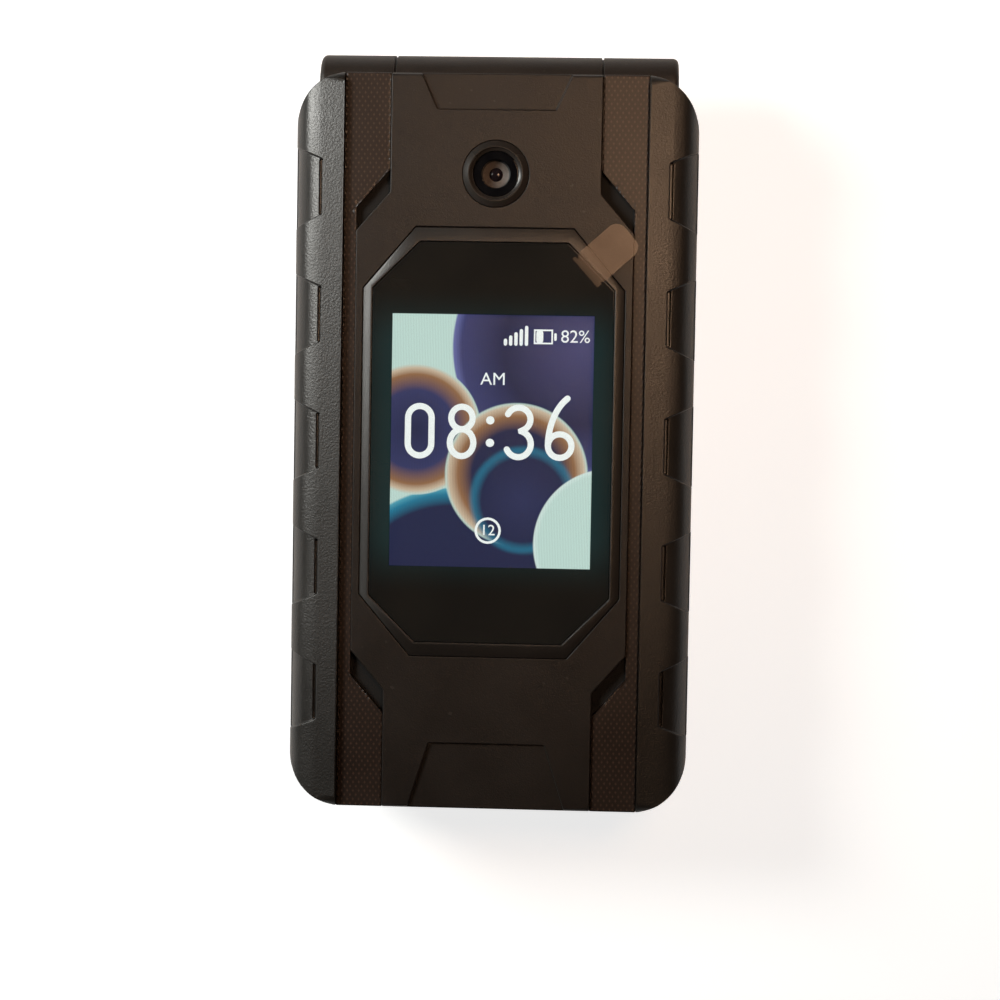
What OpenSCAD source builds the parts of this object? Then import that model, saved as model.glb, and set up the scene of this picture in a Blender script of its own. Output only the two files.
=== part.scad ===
// Rugged flip phone, closed and lying on its back, with the lid uppermost.
// Plan sizes are taken from the centre of the outer window, +Y towards the hinge.
// The part's origin is the centre of its footprint, on the surface that it lies on.

/* [Body] */
// Width of the lid
body_w = 55.6; // [54.4:0.1:58]
// Outer window's centre to the front edge
front_len = 50.7; // [50:0.1:54]
// Outer window's centre to the lid's hinge-side edge
rear_len = 50.5; // [50:0.1:53]
// Corner radius seen from above
corner_r = 8; // [6.5:0.5:9]
// How far the base's sides lie inside the lid's
base_inset = 0.4; // [0.3:0.1:0.8]
// Thickness of the base
base_t = 12; // [11.8:0.1:13]
// Gap between the base and the closed lid
lid_gap = 0.6; // [0.55:0.05:0.8]
// Thickness of the lid
lid_t = 9.4; // [9.2:0.1:10.4]
// Wall of the four shells
wall = 1.3; // [1.2:0.05:1.5]
// Radius along the underside's edges
foot_r = 1.5; // [1:0.1:1.5]
// Radius along the lid's front and hinge-side edges
end_r = 1.6; // [1:0.1:2]
// Clearance between fixed neighbours
fit = 0.05; // [0.03:0.01:0.08]
// Clearance round moving pieces
play = 0.25; // [0.22:0.01:0.3]

/* [Hinge] */
// Radius of the hinge barrel
hinge_r = 4.9; // [4.6:0.1:5.1]
// Hinge axis to the lid's hinge-side edge
hinge_inset = 1.3; // [1:0.1:1.6]
// Lid's side to the barrel's end
barrel_inset = 2.9; // [2.6:0.1:4]
// Length of the lid's part of the barrel
lid_barrel_len = 28.8; // [27:0.2:30]
// Radius of the cartridge that holds the lid in place
cartridge_r = 2.65; // [2.4:0.05:2.8]
// Radius of the cartridge's shaft
shaft_r = 1.2; // [1:0.05:1.4]
// Radius of the hollow bush that the flex passes through
bush_r = 2; // [1.8:0.05:2.1]
// Length of the shaft and the bush inside the lid's barrel
shaft_len = 5.5; // [4:0.5:7]
// Length of the cartridge
cartridge_len = 12; // [10:0.5:12.5]
// Length of the flex's coil
coil_len = 4.5; // [3:0.5:4.5]
// Radial clearance of the shaft and the bush
running = 0.05; // [0.03:0.01:0.08]
// Depth of the caps on the barrel's ends
cap_t = 0.8; // [0.6:0.1:1.2]

/* [Lid sides] */
// Width of each bumper rail seen from above
rail_w = 7; // [6:0.1:7.4]
// Radius of the rail's shoulder
rail_r = 5; // [4.4:0.1:5.2]
// Thickness of the rail
rail_t = 1.6; // [1.4:0.05:1.7]
// Notches along each rail
notch_count = 5; // [3:1:5]
// Spacing of the notches
notch_pitch = 17.4; // [16:0.1:18]
// Length of the straight inner edge of a notch
notch_edge = 7.5; // [6:0.1:9]
// Width of a notch seen from above
notch_w = 4.1; // [3.6:0.1:4.4]
// Depth of a notch at the middle of the shoulder
notch_depth = 0.6; // [0.4:0.05:0.7]
// Width of the groove along a notch's inner edge
groove_w = 0.5; // [0.3:0.05:0.6]
// Depth of that groove below the lid's top
groove_depth = 1; // [0.8:0.05:1.1]
// Width of the textured strip at its wide ends
strip_w = 6.4; // [5.6:0.1:6.8]
// Width of the strip beside the window
strip_narrow = 1.8; // [1.4:0.1:2.2]
// Window's centre to the wide part of the strip
strip_step = 37.6; // [36:0.1:39]
// How far the strip lies below the centre panel
strip_drop = 0.5; // [0.3:0.05:0.6]
// Thickness of the strip
strip_t = 0.7; // [0.5:0.05:0.8]
// Length of the diagonal pockets along the panel's edge
pocket_len = 3.4; // [2.5:0.1:4.5]
// Depth of the diagonal pockets
pocket_depth = 1.3; // [0.8:0.1:1.4]

/* [Lid face] */
// How far the centre panel lies below the rails
panel_drop = 0.5; // [0.3:0.05:0.7]
// Thickness of the lid's face above its cavity
face_t = 2.6; // [2.4:0.1:2.8]
// Panel left between the bezel and the strip
panel_land = 1.1; // [0.8:0.1:2]
// Length of the outer window
window_l = 54.9; // [50:0.1:56]
// Corner cut of the outer window
window_cut = 6.4; // [5:0.05:8]
// Thickness of the outer window
window_t = 1.1; // [0.9:0.05:1.2]
// Width of the sloping bezel beside the window
bezel_side = 1.4; // [1.2:0.05:1.6]
// Width of the sloping bezel at the window's ends
bezel_end = 2; // [1.6:0.05:2.4]
// Black border of the window beside the picture
mask_side = 2.5; // [2:0.1:4]
// Black border of the window at the picture's ends
mask_end = 9.95; // [8:0.05:12]
// Border of the display round its picture
picture_border = 1; // [0.6:0.1:1.2]
// Thickness of the protective film on the window
film_t = 0.12; // [0.1:0.01:0.2]
// Width of the film's pull tab
tab_w = 5.2; // [4:0.1:6]
// Corner radius of the film's pull tab
tab_r = 1.5; // [0.5:0.1:1.8]
// Length of the film's pull tab
tab_len = 6.9; // [5:0.1:7.5]
// Direction of the tab, anticlockwise from +X
tab_angle = 42; // [38:1:50]
// Width of the trapezoid recess at the hinge side
crown_w = 16.2; // [14:0.1:18]
// Length of the trapezoid recess at the hinge side
crown_l = 5; // [4:0.1:5.4]
// Width of the trapezoid recess at the front
chin_w = 16; // [14:0.1:18]
// Length of the trapezoid recess at the front
chin_l = 9.2; // [8:0.1:10]
// Depth of both trapezoid recesses
trapezoid_depth = 0.45; // [0.3:0.05:0.6]

/* [Camera] */
// Window's bezel to the camera ring
camera_gap = 2.85; // [2.6:0.05:3.4]
// Outer radius of the camera ring
camera_r = 4.5; // [4.2:0.1:4.8]
// Radius of the ring's upper edge
camera_rim_r = 3.6; // [3.5:0.05:3.8]
// Radius of the camera's window
lens_r = 3.1; // [2.8:0.05:3.2]

/* [Inner display] */
// Lid's side to the inner window
inner_side = 3.8; // [3.2:0.1:5]
// Length of the inner window
inner_l = 66; // [60:0.5:68]
// Inner window's centre, from the outer window's centre
inner_y = -3; // [-5:0.5:-1]
// Thickness of the inner window
inner_t = 0.8; // [0.6:0.05:0.9]
// Inner window's side to the inner display's picture
screen_side = 2.4; // [2:0.1:4]
// Length of the inner display's picture
screen_l = 57.6; // [54:0.1:58.5]
// Thickness of the inner display
screen_t = 1.6; // [1.4:0.1:1.7]

/* [Keys] */
// Base's side to the keypad
keypad_side = 4.8; // [4.4:0.1:6]
// Front edge to the keypad
keypad_front = 11.5; // [10:0.5:14]
// Gap between neighbouring keys along X
key_gap_x = 1.9; // [1.6:0.1:2.4]
// Gap between neighbouring keys along Y
key_gap_y = 2.9; // [2.2:0.1:3.4]
// Corner radius of the keys
key_r = 1.8; // [1:0.1:2.2]
// How far the keys stand above the base
key_rise = 0.2; // [0.1:0.05:0.25]
// Travel of a key
key_travel = 0.3; // [0.2:0.05:0.35]
// Width of the lip that keeps a key in
key_lip = 0.5; // [0.4:0.05:0.55]
// Gap between that lip and the base's face
lip_gap = 0.15; // [0.1:0.05:0.2]
// Outer radius of the four-way ring
nav_r = 9.2; // [8.6:0.1:9.6]
// Radius of the centre key
ok_r = 4.9; // [4.4:0.1:5.2]
// Four-way ring's centre to the lid's hinge-side edge
nav_back = 25.6; // [24:0.1:26]
// Gap between the ring and the rows of keys
nav_front = 4.2; // [3:0.1:5]
// Gap between the ring and the keys beside it
nav_side = 3.8; // [3:0.1:5]
// Length of the soft, call and end keys
side_key_l = 8; // [7:0.1:8.4]
// Thickness of the key mat
mat_t = 0.6; // [0.5:0.05:0.7]

/* [Base sides] */
// Height of the base's rear case
case_h = 7; // [6.8:0.1:7.4]
// Length of the volume rocker
rocker_l = 16; // [12:0.5:18]
// Volume rocker's centre, from the outer window's centre
rocker_y = 20; // [14:0.5:22]
// Height of the side buttons
button_h = 2.6; // [2.2:0.1:2.8]
// Length of the right-hand button
button_l = 8; // [6:0.5:10]
// How far the side buttons stand proud
button_rise = 0.25; // [0.15:0.05:0.3]
// Length of the connector flap
flap_l = 13; // [12:0.5:15]
// Height of the connector flap
flap_h = 4.6; // [4.4:0.1:4.8]
// Thickness of the connector flap
flap_t = 1.2; // [1:0.05:1.3]
// Connector's centre, from the outer window's centre
usb_y = 29; // [28:0.5:31]

/* [Battery] */
// Base's side to the battery
battery_side = 8.4; // [8:0.1:11]
// Battery to the lid's hinge-side edge
battery_back = 34.6; // [34.4:0.1:40]
// Thickness of the battery
battery_t = 4.6; // [4:0.1:4.6]
// Front edge to the battery
battery_front = 13.5; // [13:0.5:14.5]
// Border of the battery cover beyond the bay, all round
door_border = 3; // [2.5:0.1:3.4]
// Radius of the turning lock
lock_r = 4; // [3.6:0.1:4.4]

/* [Inner pieces] */
// Width of the radio shield
shield_w = 34; // [24:1:36]
// Length of the radio shield
shield_l = 44; // [30:1:50]
// Thickness of the radio shield
shield_t = 1.2; // [1:0.05:1.2]
// Thickness of the circuit boards
board_t = 0.8; // [0.6:0.05:0.8]
// Thickness of the lid's stiffening frame
frame_t = 0.5; // [0.4:0.05:0.6]
// Length of the lid's board in front of the camera
board_run = 64.8; // [50:0.2:70]
// Width of the earpiece
earpiece_w = 12; // [10:0.5:14]
// Length of the earpiece
earpiece_l = 4.4; // [3.6:0.1:5]
// Side of the square camera body
camera_side = 8; // [7:0.1:8.4]
// Width of the loudspeaker
speaker_w = 14; // [12:0.5:15]
// Length of the loudspeaker
speaker_l = 7; // [6:0.1:7.2]
// Thickness of the loudspeaker
speaker_t = 2.05; // [1.8:0.05:3]
// Radius of the vibration motor
motor_r = 2.2; // [1.8:0.1:2.3]
// Length of the vibration motor with its weight
motor_l = 9.8; // [8:0.1:10]
// Width of the connector socket
socket_w = 7.8; // [7.4:0.1:8]
// Height of the connector socket
socket_h = 3; // [2.8:0.05:3]
// Depth of the connector socket
socket_l = 5.6; // [5:0.1:6]

/* [Fasteners] */
// Radius of a screw's shank
screw_r = 0.8; // [0.6:0.05:0.9]
// Radius of a screw's head
head_r = 1.5; // [1.3:0.05:1.6]
// Height of a screw's head
head_h = 0.9; // [0.8:0.05:1]
// Wall of the posts round the screws
post_wall = 1.2; // [0.9:0.1:1.3]
// Wall round the screws' heads
boss_wall = 0.8; // [0.6:0.1:0.9]
// Length of thread in the outer shells
thread_l = 2.5; // [1.5:0.1:2.8]
// Closing bumper's length along X
bumper_w = 5; // [4:0.5:6]
// Closing bumper's length along Y
bumper_l = 1.8; // [1.4:0.1:2.2]
// How deep the screws' heads lie in the base
sink = 1.1; // [0.9:0.1:1.2]
// Screw's centre to the sides of the lid or base
screw_inset = 6.6; // [6.4:0.1:7]

/* [Hidden] */
$fn = 64;
half_w = body_w / 2;
barrel_len = body_w - 2 * barrel_inset;
base_half = half_w - base_inset;
hinge_y = rear_len - hinge_inset;
mid_shift = (front_len - hinge_y - hinge_r) / 2;
lid_z = base_t + lid_gap;
lid_top = lid_z + lid_t;
hinge_z = base_t + lid_gap / 2;
eps = 0.5;
over = 20;

// Lid levels
lid_split = lid_z + 3;
panel_z = lid_top - panel_drop;
face_z = panel_z - face_t;
window_z = lid_top - window_t;
bezel_z = window_z - 0.5;
floor_z = lid_z + wall;
frame_z = floor_z + fit + screen_t + 0.1;
lid_board_z = frame_z + frame_t + 0.1;
lid_board_top = lid_board_z + board_t;

// Base levels
base_face = base_t - 1.2;
battery_z = wall + 0.2;
board_z = battery_z + battery_t + 0.2;
shield_z = board_z + board_t + fit;
mat_z = shield_z + shield_t + fit;
mat_top = mat_z + mat_t;
key_z = mat_top + key_travel + 0.15;
key_top = base_t + key_rise;
lip_top = base_face - lip_gap;
nav_gap = 0.3;
carrier_t = 0.3;
nav_hole_r = ok_r + key_lip + play + 0.1;

// Plan lines
rail_x = half_w - rail_w;
panel_x = rail_x - strip_w;
narrow_x = rail_x - strip_narrow;
window_w = 2 * (narrow_x - panel_land - bezel_side);
picture_w = window_w - 2 * mask_side;
picture_l = window_l - 2 * mask_end;
camera_y = window_l / 2 + bezel_end + camera_gap + camera_r;
inner_w = body_w - 2 * inner_side;
screen_w = inner_w - 2 * screen_side;
strip_slope = 1.15;
notch_r = rail_r + notch_depth / (sqrt(2) - 1);
lid_rear_in = hinge_y - hinge_r - play - wall;
base_rear = hinge_y - hinge_inset - play;
knuckle_in = lid_barrel_len / 2 + play / 2;
bush_x = -lid_barrel_len / 2 + shaft_len;
coil_x = bush_x + coil_len + 0.6;
screw_y_front = -front_len + screw_inset + 0.6;
screw_y_rear = lid_rear_in - head_r - 2.6;
screw_x = half_w - screw_inset;
earpiece_y = lid_rear_in - 3.4;

// Key rows and columns: five rows fill the length in front of the ring
key_rows = 5;
nav_y = rear_len - nav_back;
row_pitch = (nav_y - nav_r - nav_front + front_len - keypad_front + key_gap_y) / key_rows;
key_l = row_pitch - key_gap_y;
column_pitch = (2 * (base_half - keypad_side) + key_gap_x) / 3;
key_w = column_pitch - key_gap_x;
columns = [-1, 0, 1];
row_y = [for (i = [3:-1:0]) -front_len + keypad_front + key_l / 2 + i * row_pitch];
clear_y = row_y[0] + row_pitch;
side_key_w = base_half - keypad_side - nav_r - nav_side;
side_x = base_half - keypad_side - side_key_w / 2;
soft_y = nav_y + side_key_l / 2 + 2;
call_y = nav_y - side_key_l / 2 - 2;

// Side openings
button_z = (case_h + base_face) / 2;
flap_z = foot_r + 0.3 + flap_h / 2;
flap_end = usb_y + flap_l / 2;
usb_z = board_z - fit - socket_h / 2;
socket_x = base_half - 3.8 - socket_l;

// Battery and its door
battery_w = 2 * (base_half - battery_side);
battery_l = front_len + rear_len - battery_front - battery_back;
battery_y = -front_len + battery_front + battery_l / 2;
door_w = battery_w + 2 * door_border + 2;
door_front = battery_y - battery_l / 2 - 1 - door_border;
door_rear = battery_y + battery_l / 2 + 2 * lock_r + 4.5;
door_mid = (door_front + door_rear) / 2;
lock_y = door_rear - lock_r - 2.2;
lock_tongue_r = lock_r + 1.2;
grille_y = door_rear + 3.8;
speaker_y = grille_y + 1;
motor_x = socket_x - 1.2 - motor_l;
speaker_x = motor_x - 3 - speaker_w / 2;

// ---- Shared shapes ----

// Moves plan coordinates to the part's frame
module in_frame() {
    translate([0, mid_shift, 0]) children();
}

// Rounded rectangle about its centre
module rounded(w, l, r) {
    square([w - 2 * r, l], center = true);
    square([w, l - 2 * r], center = true);
    for (sx = [-1, 1], sy = [-1, 1])
        translate([sx * (w / 2 - r), sy * (l / 2 - r)]) circle(r);
}

// Outline of the lid or base seen from above
module plan(half, rear, inset = 0) {
    length = rear + front_len - 2 * inset;
    translate([0, (rear - front_len) / 2])
        rounded(2 * (half - inset), length, max(corner_r - inset, 1));
}

// Upright prism between two levels
module prism(z0, z1) {
    translate([0, 0, z0]) linear_extrude(z1 - z0) children();
}

// Prism along Y from a section drawn in X and Z
module along_y(y0, y1) {
    translate([0, y1, 0]) rotate([90, 0, 0]) linear_extrude(y1 - y0) children();
}

// Prism along X from a section drawn in Y and Z
module along_x(x0, x1) {
    translate([x0, 0, 0]) rotate([90, 0, 90]) linear_extrude(x1 - x0) children();
}

// Section with rounded upper corners, from z0 up to z1
module shoulders(half, z0, z1, r, inset = 0) {
    translate([-half + inset, z0]) square([2 * (half - inset), z1 - r - z0]);
    translate([-half + r, z0]) square([2 * (half - r), z1 - inset - z0]);
    for (s = [-1, 1])
        translate([s * (half - r), z1 - r]) circle(r - inset);
}

// Rod on the hinge axis between two places along X
module hinge_rod(x0, x1, r) {
    translate([x0, hinge_y, hinge_z]) rotate([0, 90, 0]) cylinder(h = x1 - x0, r = r);
}

// Rectangle with its four corners cut off
module cut_rectangle(w, l, cut_x, cut_y) {
    polygon([for (q = [[1, 1, 0], [1, 1, 1], [-1, 1, 1], [-1, 1, 0],
                       [-1, -1, 0], [-1, -1, 1], [1, -1, 1], [1, -1, 0]])
        [q[0] * (w / 2 - q[2] * cut_x), q[1] * (l / 2 - (1 - q[2]) * cut_y)]]);
}

// Outline of the window, grown or shrunk
module window_outline(grow = 0) {
    cut_rectangle(window_w + 2 * grow, window_l + 2 * grow, window_cut, window_cut);
}

// Foot of the bezel where it meets the panel
module bezel_outline(grow = 0) {
    w = window_w + 2 * bezel_side + 2 * grow;
    l = window_l + 2 * bezel_end + 2 * grow;
    cut_rectangle(w, l, window_cut + bezel_side / 2, window_cut + bezel_end);
}

// Outline of the base seen from above
module base_plan(inset = 0) {
    plan(half_w, base_rear + base_inset, base_inset + inset);
}

// Outer form of the lid above a level, full width or under the rails
module lid_form(z0, inset) {
    intersection() {
        prism(z0, lid_top) plan(half_w, rear_len);
        along_y(-front_len, rear_len)
            shoulders(half_w, z0 - 1, lid_top, rail_r, inset);
        along_x(-half_w, half_w) translate([(rear_len - front_len) / 2, 0])
            shoulders((rear_len + front_len) / 2, z0 - 1, lid_top, end_r);
    }
}

// Outer form of the base up to a level, with its rear end under the barrel
module base_form(z0, z1) {
    intersection() {
        prism(z0, z1) base_plan();
        along_y(-front_len, base_rear) translate([0, z1]) mirror([0, 1])
            shoulders(base_half, -1, z1, foot_r);
    }
}

// Room for the base's two knuckles in the lid
module knuckle_room() {
    for (s = [-1, 1]) {
        x_in = s * (lid_barrel_len / 2 - play / 2);
        x_out = s * (barrel_len / 2 + play);
        hinge_rod(min(x_in, x_out), max(x_in, x_out), hinge_r + play);
    }
}

// Strip beside the centre panel on the right, seen from above
module strip_outline(shrink = 0) {
    run = (narrow_x - panel_x) * strip_slope;
    rise = shrink * 0.4;
    half = [
        [rail_x - shrink, rear_len + over],
        [panel_x + shrink, rear_len + over],
        [panel_x + shrink, strip_step + rise],
        [narrow_x + shrink, strip_step - run + rise]
    ];
    polygon(concat(half, [for (i = [3:-1:0]) [half[i][0], -half[i][1]]]));
}

// Diagonal pockets between the strip and the centre panel
module pocket_outline() {
    run = (narrow_x - panel_x) * strip_slope;
    for (s = [-1, 1])
        polygon([
            [panel_x, s * strip_step],
            [narrow_x, s * (strip_step - run)],
            [narrow_x, s * (strip_step - run - pocket_len)],
            [panel_x, s * (strip_step - pocket_len)]
        ]);
}

// Places of the four screws in the lid
module at_lid_screws() {
    for (s = [-1, 1], y = [screw_y_front, screw_y_rear])
        translate([s * screw_x, y, 0]) children();
}

// Places of the four screws in the base
module at_base_screws() {
    for (s = [-1, 1], y = [screw_y_front, screw_y_rear])
        translate([s * (screw_x - base_inset), y, 0]) children();
}

// ---- Lid ----

// Outer shell of the lid: centre panel, side walls and screw posts
module lid_outer_cover() {
    color("#2b2622") in_frame() difference() {
        union() {
            lid_form(lid_split, rail_t + fit);
            intersection() {
                lid_form(lid_split, 0);
                prism(face_z, panel_z) square([2 * (rail_x - fit), over * 8], center = true);
            }
        }
        prism(panel_z, lid_top + eps) square([2 * rail_x, over * 8], center = true);
        difference() {
            prism(lid_split - eps, face_z) intersection() {
                plan(half_w, rear_len, rail_t + wall);
                translate([-half_w, -front_len]) square([body_w, front_len + lid_rear_in]);
            }
            at_lid_screws() cylinder(h = lid_top, r = head_r + boss_wall);
        }
        for (s = [0, 1]) mirror([s, 0, 0]) {
            prism(panel_z - strip_drop - strip_t, lid_top) strip_outline();
            prism(panel_z - pocket_depth, lid_top) pocket_outline();
        }
        prism(bezel_z, lid_top) bezel_outline(fit);
        prism(face_z - eps, lid_top)
            square([picture_w + 2 * picture_border + 0.3, picture_l + 2 * picture_border + 0.3],
                   center = true);
        translate([0, camera_y, 0]) {
            translate([0, 0, face_z - eps]) cylinder(h = over, r = lens_r + 0.2);
            translate([0, 0, panel_z - 0.9]) cylinder(h = over, r = camera_r + fit);
        }
        prism(panel_z - trapezoid_depth, lid_top) {
            polygon([[-crown_w / 2, rear_len - crown_l], [crown_w / 2, rear_len - crown_l],
                     [crown_w / 2 + crown_l / 2, rear_len + eps],
                     [-crown_w / 2 - crown_l / 2, rear_len + eps]]);
            polygon([[-chin_w / 2, -front_len + chin_l], [-chin_w / 2 - chin_l / 3, -front_len - eps],
                     [chin_w / 2 + chin_l / 3, -front_len - eps], [chin_w / 2, -front_len + chin_l]]);
        }
        at_lid_screws() translate([0, 0, lid_split - eps])
            cylinder(h = face_z - lid_split, r = screw_r + fit);
        knuckle_room();
        hinge_rod(-lid_barrel_len / 2, lid_barrel_len / 2, hinge_r + fit);
    }
}

// Bumper rail with its row of recessed pads, on the right side
module rail() {
    difference() {
        lid_form(lid_split + fit, 0);
        along_y(-over * 4, over * 4)
            shoulders(half_w, 0, lid_top, rail_r, rail_t);
        prism(0, lid_top + eps) translate([-half_w, -over * 4]) square([half_w + rail_x, over * 8]);
        for (i = [0:notch_count - 1])
            translate([0, (i - (notch_count - 1) / 2) * notch_pitch, 0]) notch();
    }
}

// One recessed pad of the rail: a flatter shoulder with a groove along its inner edge
module notch() {
    x_in = half_w - notch_w;
    y_out = (notch_edge + notch_w) / 2;
    intersection() {
        prism(lid_split + 1, lid_top + eps)
            polygon([[x_in, notch_edge / 2], [x_in, -notch_edge / 2],
                     [half_w + eps, -y_out], [half_w + eps, y_out]]);
        along_y(-over, over) difference() {
            translate([rail_x, lid_split]) square([rail_w + eps, lid_t]);
            shoulders(half_w, 0, lid_top, notch_r);
        }
    }
    along_y(-notch_edge / 2, notch_edge / 2) translate([x_in, lid_top - groove_depth])
        square([groove_w, groove_depth + eps]);
}

module lid_rail_left() {
    color("#34322d") in_frame() mirror([1, 0, 0]) rail();
}

module lid_rail_right() {
    color("#34322d") in_frame() rail();
}

// Textured strip let in beside the centre panel, on the right side
module strip() {
    intersection() {
        prism(panel_z - strip_drop - strip_t, panel_z - strip_drop) strip_outline(fit);
        lid_form(lid_split, 0);
    }
}

module lid_strip_left() {
    color("#241f1c") in_frame() mirror([1, 0, 0]) strip();
}

module lid_strip_right() {
    color("#241f1c") in_frame() strip();
}

// Frame that slopes up from the panel to the window and holds it on a ledge
module window_bezel() {
    color("#1d1b19") in_frame() difference() {
        union() {
            prism(bezel_z, panel_z) bezel_outline();
            hull() {
                prism(panel_z - 0.1, panel_z) bezel_outline();
                prism(lid_top - 0.1, lid_top) window_outline(0.35);
            }
        }
        prism(window_z, lid_top + eps) window_outline(fit);
        prism(bezel_z - eps, lid_top)
            square([picture_w + 2 * picture_border + 0.3, picture_l + 2 * picture_border + 0.3],
                   center = true);
    }
}

module outer_window() {
    color("#0b0c0e") in_frame() prism(window_z + fit, lid_top) window_outline();
}

// Small display behind the outer window, standing on the lid's circuit board
module outer_display() {
    color("#7d8fa0") in_frame() prism(lid_board_top + fit, window_z - fit)
        square([picture_w + 2 * picture_border, picture_l + 2 * picture_border], center = true);
}

// Protective film with its pull tab over the bezel's corner
module window_film() {
    color("#6a5a4a", 0.4) in_frame() prism(lid_top + 0.02, lid_top + 0.02 + film_t) {
        window_outline(-0.4);
        translate([(window_w - window_cut) / 2, (window_l - window_cut) / 2]) rotate(tab_angle)
            translate([(tab_len - 1) / 2, 0]) rounded(tab_len + 1, tab_w, tab_r);
    }
}

module camera_ring() {
    ring_z = panel_z - 0.9 + fit;
    color("#171614") in_frame() translate([0, camera_y, 0]) difference() {
        union() {
            translate([0, 0, ring_z]) cylinder(h = panel_z - ring_z, r = camera_r);
            translate([0, 0, panel_z]) cylinder(h = panel_drop, r1 = camera_r, r2 = camera_rim_r);
        }
        translate([0, 0, ring_z - eps]) cylinder(h = over, r = lens_r + fit);
    }
}

module camera_window() {
    color("#0a0a0c") in_frame() translate([0, camera_y, panel_z - 0.9 + fit])
        cylinder(h = 0.8, r = lens_r);
}

// Camera on the lid's circuit board, its barrel reaching up into the ring
module camera_module() {
    color("#1a1a1c") in_frame() translate([0, camera_y, lid_board_top + fit]) {
        translate([-camera_side / 2, -camera_side / 2, 0])
            cube([camera_side, camera_side, face_z - lid_board_top - 2 * fit]);
        cylinder(h = panel_z - 0.9 - lid_board_top - fit, r = lens_r);
    }
}

// Stiffening plate between the displays
module lid_frame() {
    color("#8c8f92") in_frame() difference() {
        prism(frame_z, frame_z + frame_t) intersection() {
            plan(half_w, rear_len, rail_t + wall + 0.2);
            translate([-half_w, -front_len]) square([body_w, front_len + lid_rear_in - 0.2]);
        }
        at_lid_screws() translate([0, 0, frame_z - eps]) cylinder(h = 2, r = head_r + 1);
    }
}

// Inner shell of the lid with the middle part of the hinge barrel
module lid_inner_cover() {
    color("#262220") in_frame() difference() {
        union() {
            difference() {
                prism(lid_z, lid_split) plan(half_w, rear_len);
                prism(floor_z, lid_split + eps) intersection() {
                    plan(half_w, rear_len, wall);
                    translate([-half_w, -front_len]) square([body_w, front_len + lid_rear_in]);
                }
            }
            hinge_rod(-lid_barrel_len / 2, lid_barrel_len / 2, hinge_r);
            at_lid_screws() translate([0, 0, lid_z])
                cylinder(h = lid_split - lid_z, r = head_r + boss_wall);
        }
        prism(lid_z - eps, lid_z + inner_t + fit)
            translate([0, inner_y]) rounded(inner_w + 2 * fit, inner_l + 2 * fit, 2);
        prism(lid_z, floor_z + eps) translate([0, inner_y])
            square([screen_w + 1, screen_l + 1], center = true);
        for (i = [-1, 0, 1]) prism(lid_z - eps, floor_z + eps)
            translate([i * 3.4, earpiece_y]) square([2.6, 1], center = true);
        at_lid_screws() {
            translate([0, 0, lid_z - eps]) cylinder(h = head_h + 0.2 + eps, r = head_r + fit);
            translate([0, 0, lid_z]) cylinder(h = over, r = screw_r + fit);
        }
        knuckle_room();
        hinge_rod(lid_barrel_len / 2 - cartridge_len - 0.1, lid_barrel_len, cartridge_r + fit);
        hinge_rod(-lid_barrel_len, coil_x + 0.1, bush_r + running);
    }
}

module main_window() {
    color("#0c0d10") in_frame() prism(lid_z, lid_z + inner_t)
        translate([0, inner_y]) rounded(inner_w, inner_l, 2);
}

module main_display() {
    color("#39404c") in_frame() prism(floor_z + fit, floor_z + fit + screen_t)
        translate([0, inner_y]) square([screen_w + 3, screen_l + 4], center = true);
}

module earpiece() {
    color("#3c3c3e") in_frame() prism(floor_z + fit, floor_z + fit + screen_t)
        translate([0, earpiece_y]) rounded(earpiece_w, earpiece_l, 1.2);
}

module lid_board() {
    color("#1f5a36") in_frame() prism(lid_board_z, lid_board_top)
        translate([0, camera_y + camera_side / 2 - board_run / 2])
            square([2 * (screw_x - head_r - 1.6), board_run], center = true);
}

// Rubber pads that meet the base when the lid is closed
module lid_bumpers() {
    color("#1c1b1a") in_frame() for (s = [-1, 1], y = [-front_len + 3, screw_y_rear + 3.4])
        translate([s * (screw_x - 4.2), y, lid_z - lid_gap + fit])
            prism(0, lid_gap - fit) rounded(bumper_w, bumper_l, bumper_l / 2 - 0.1);
}

module lid_screws() {
    color("#70706e") in_frame() at_lid_screws() difference() {
        union() {
            translate([0, 0, lid_z + 0.15]) cylinder(h = head_h, r = head_r);
            translate([0, 0, lid_z + head_h])
                cylinder(h = lid_split + thread_l - lid_z - head_h, r = screw_r);
        }
        for (a = [0, 90]) rotate(a) translate([-0.9, -0.2, lid_z]) cube([1.8, 0.4, 0.5]);
    }
}

// ---- Hinge ----

// Spring cartridge in the lid's barrel, bored for its shaft
module hinge_cartridge() {
    color("#9a9da0") in_frame() difference() {
        hinge_rod(lid_barrel_len / 2 - cartridge_len, lid_barrel_len / 2, cartridge_r);
        hinge_rod(lid_barrel_len / 2 - shaft_len - 0.5, over * 2, shaft_r + running);
    }
}

// Coil of the flexible circuit in the lid's barrel
module hinge_flex() {
    color("#b5702a") in_frame() difference() {
        hinge_rod(coil_x - coil_len, coil_x, bush_r - 0.1);
        hinge_rod(coil_x - over, coil_x + over, bush_r - 0.5);
    }
}

// Cam head fixed in the right knuckle, its shaft running in the cartridge
module hinge_shaft() {
    color("#b9bcc0") in_frame() {
        hinge_rod(knuckle_in + 0.1, barrel_len / 2 - cap_t - 0.6, cartridge_r);
        hinge_rod(lid_barrel_len / 2 - shaft_len, knuckle_in + 1, shaft_r);
    }
}

// Hollow bush fixed in the left knuckle, running in the lid's barrel
module hinge_bush() {
    color("#a8aaad") in_frame() difference() {
        union() {
            hinge_rod(-barrel_len / 2 + cap_t + 0.6, -knuckle_in - 0.1, cartridge_r);
            hinge_rod(-knuckle_in - 1, bush_x, bush_r);
        }
        hinge_rod(-barrel_len / 2, 0, bush_r - 0.6);
    }
}

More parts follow.
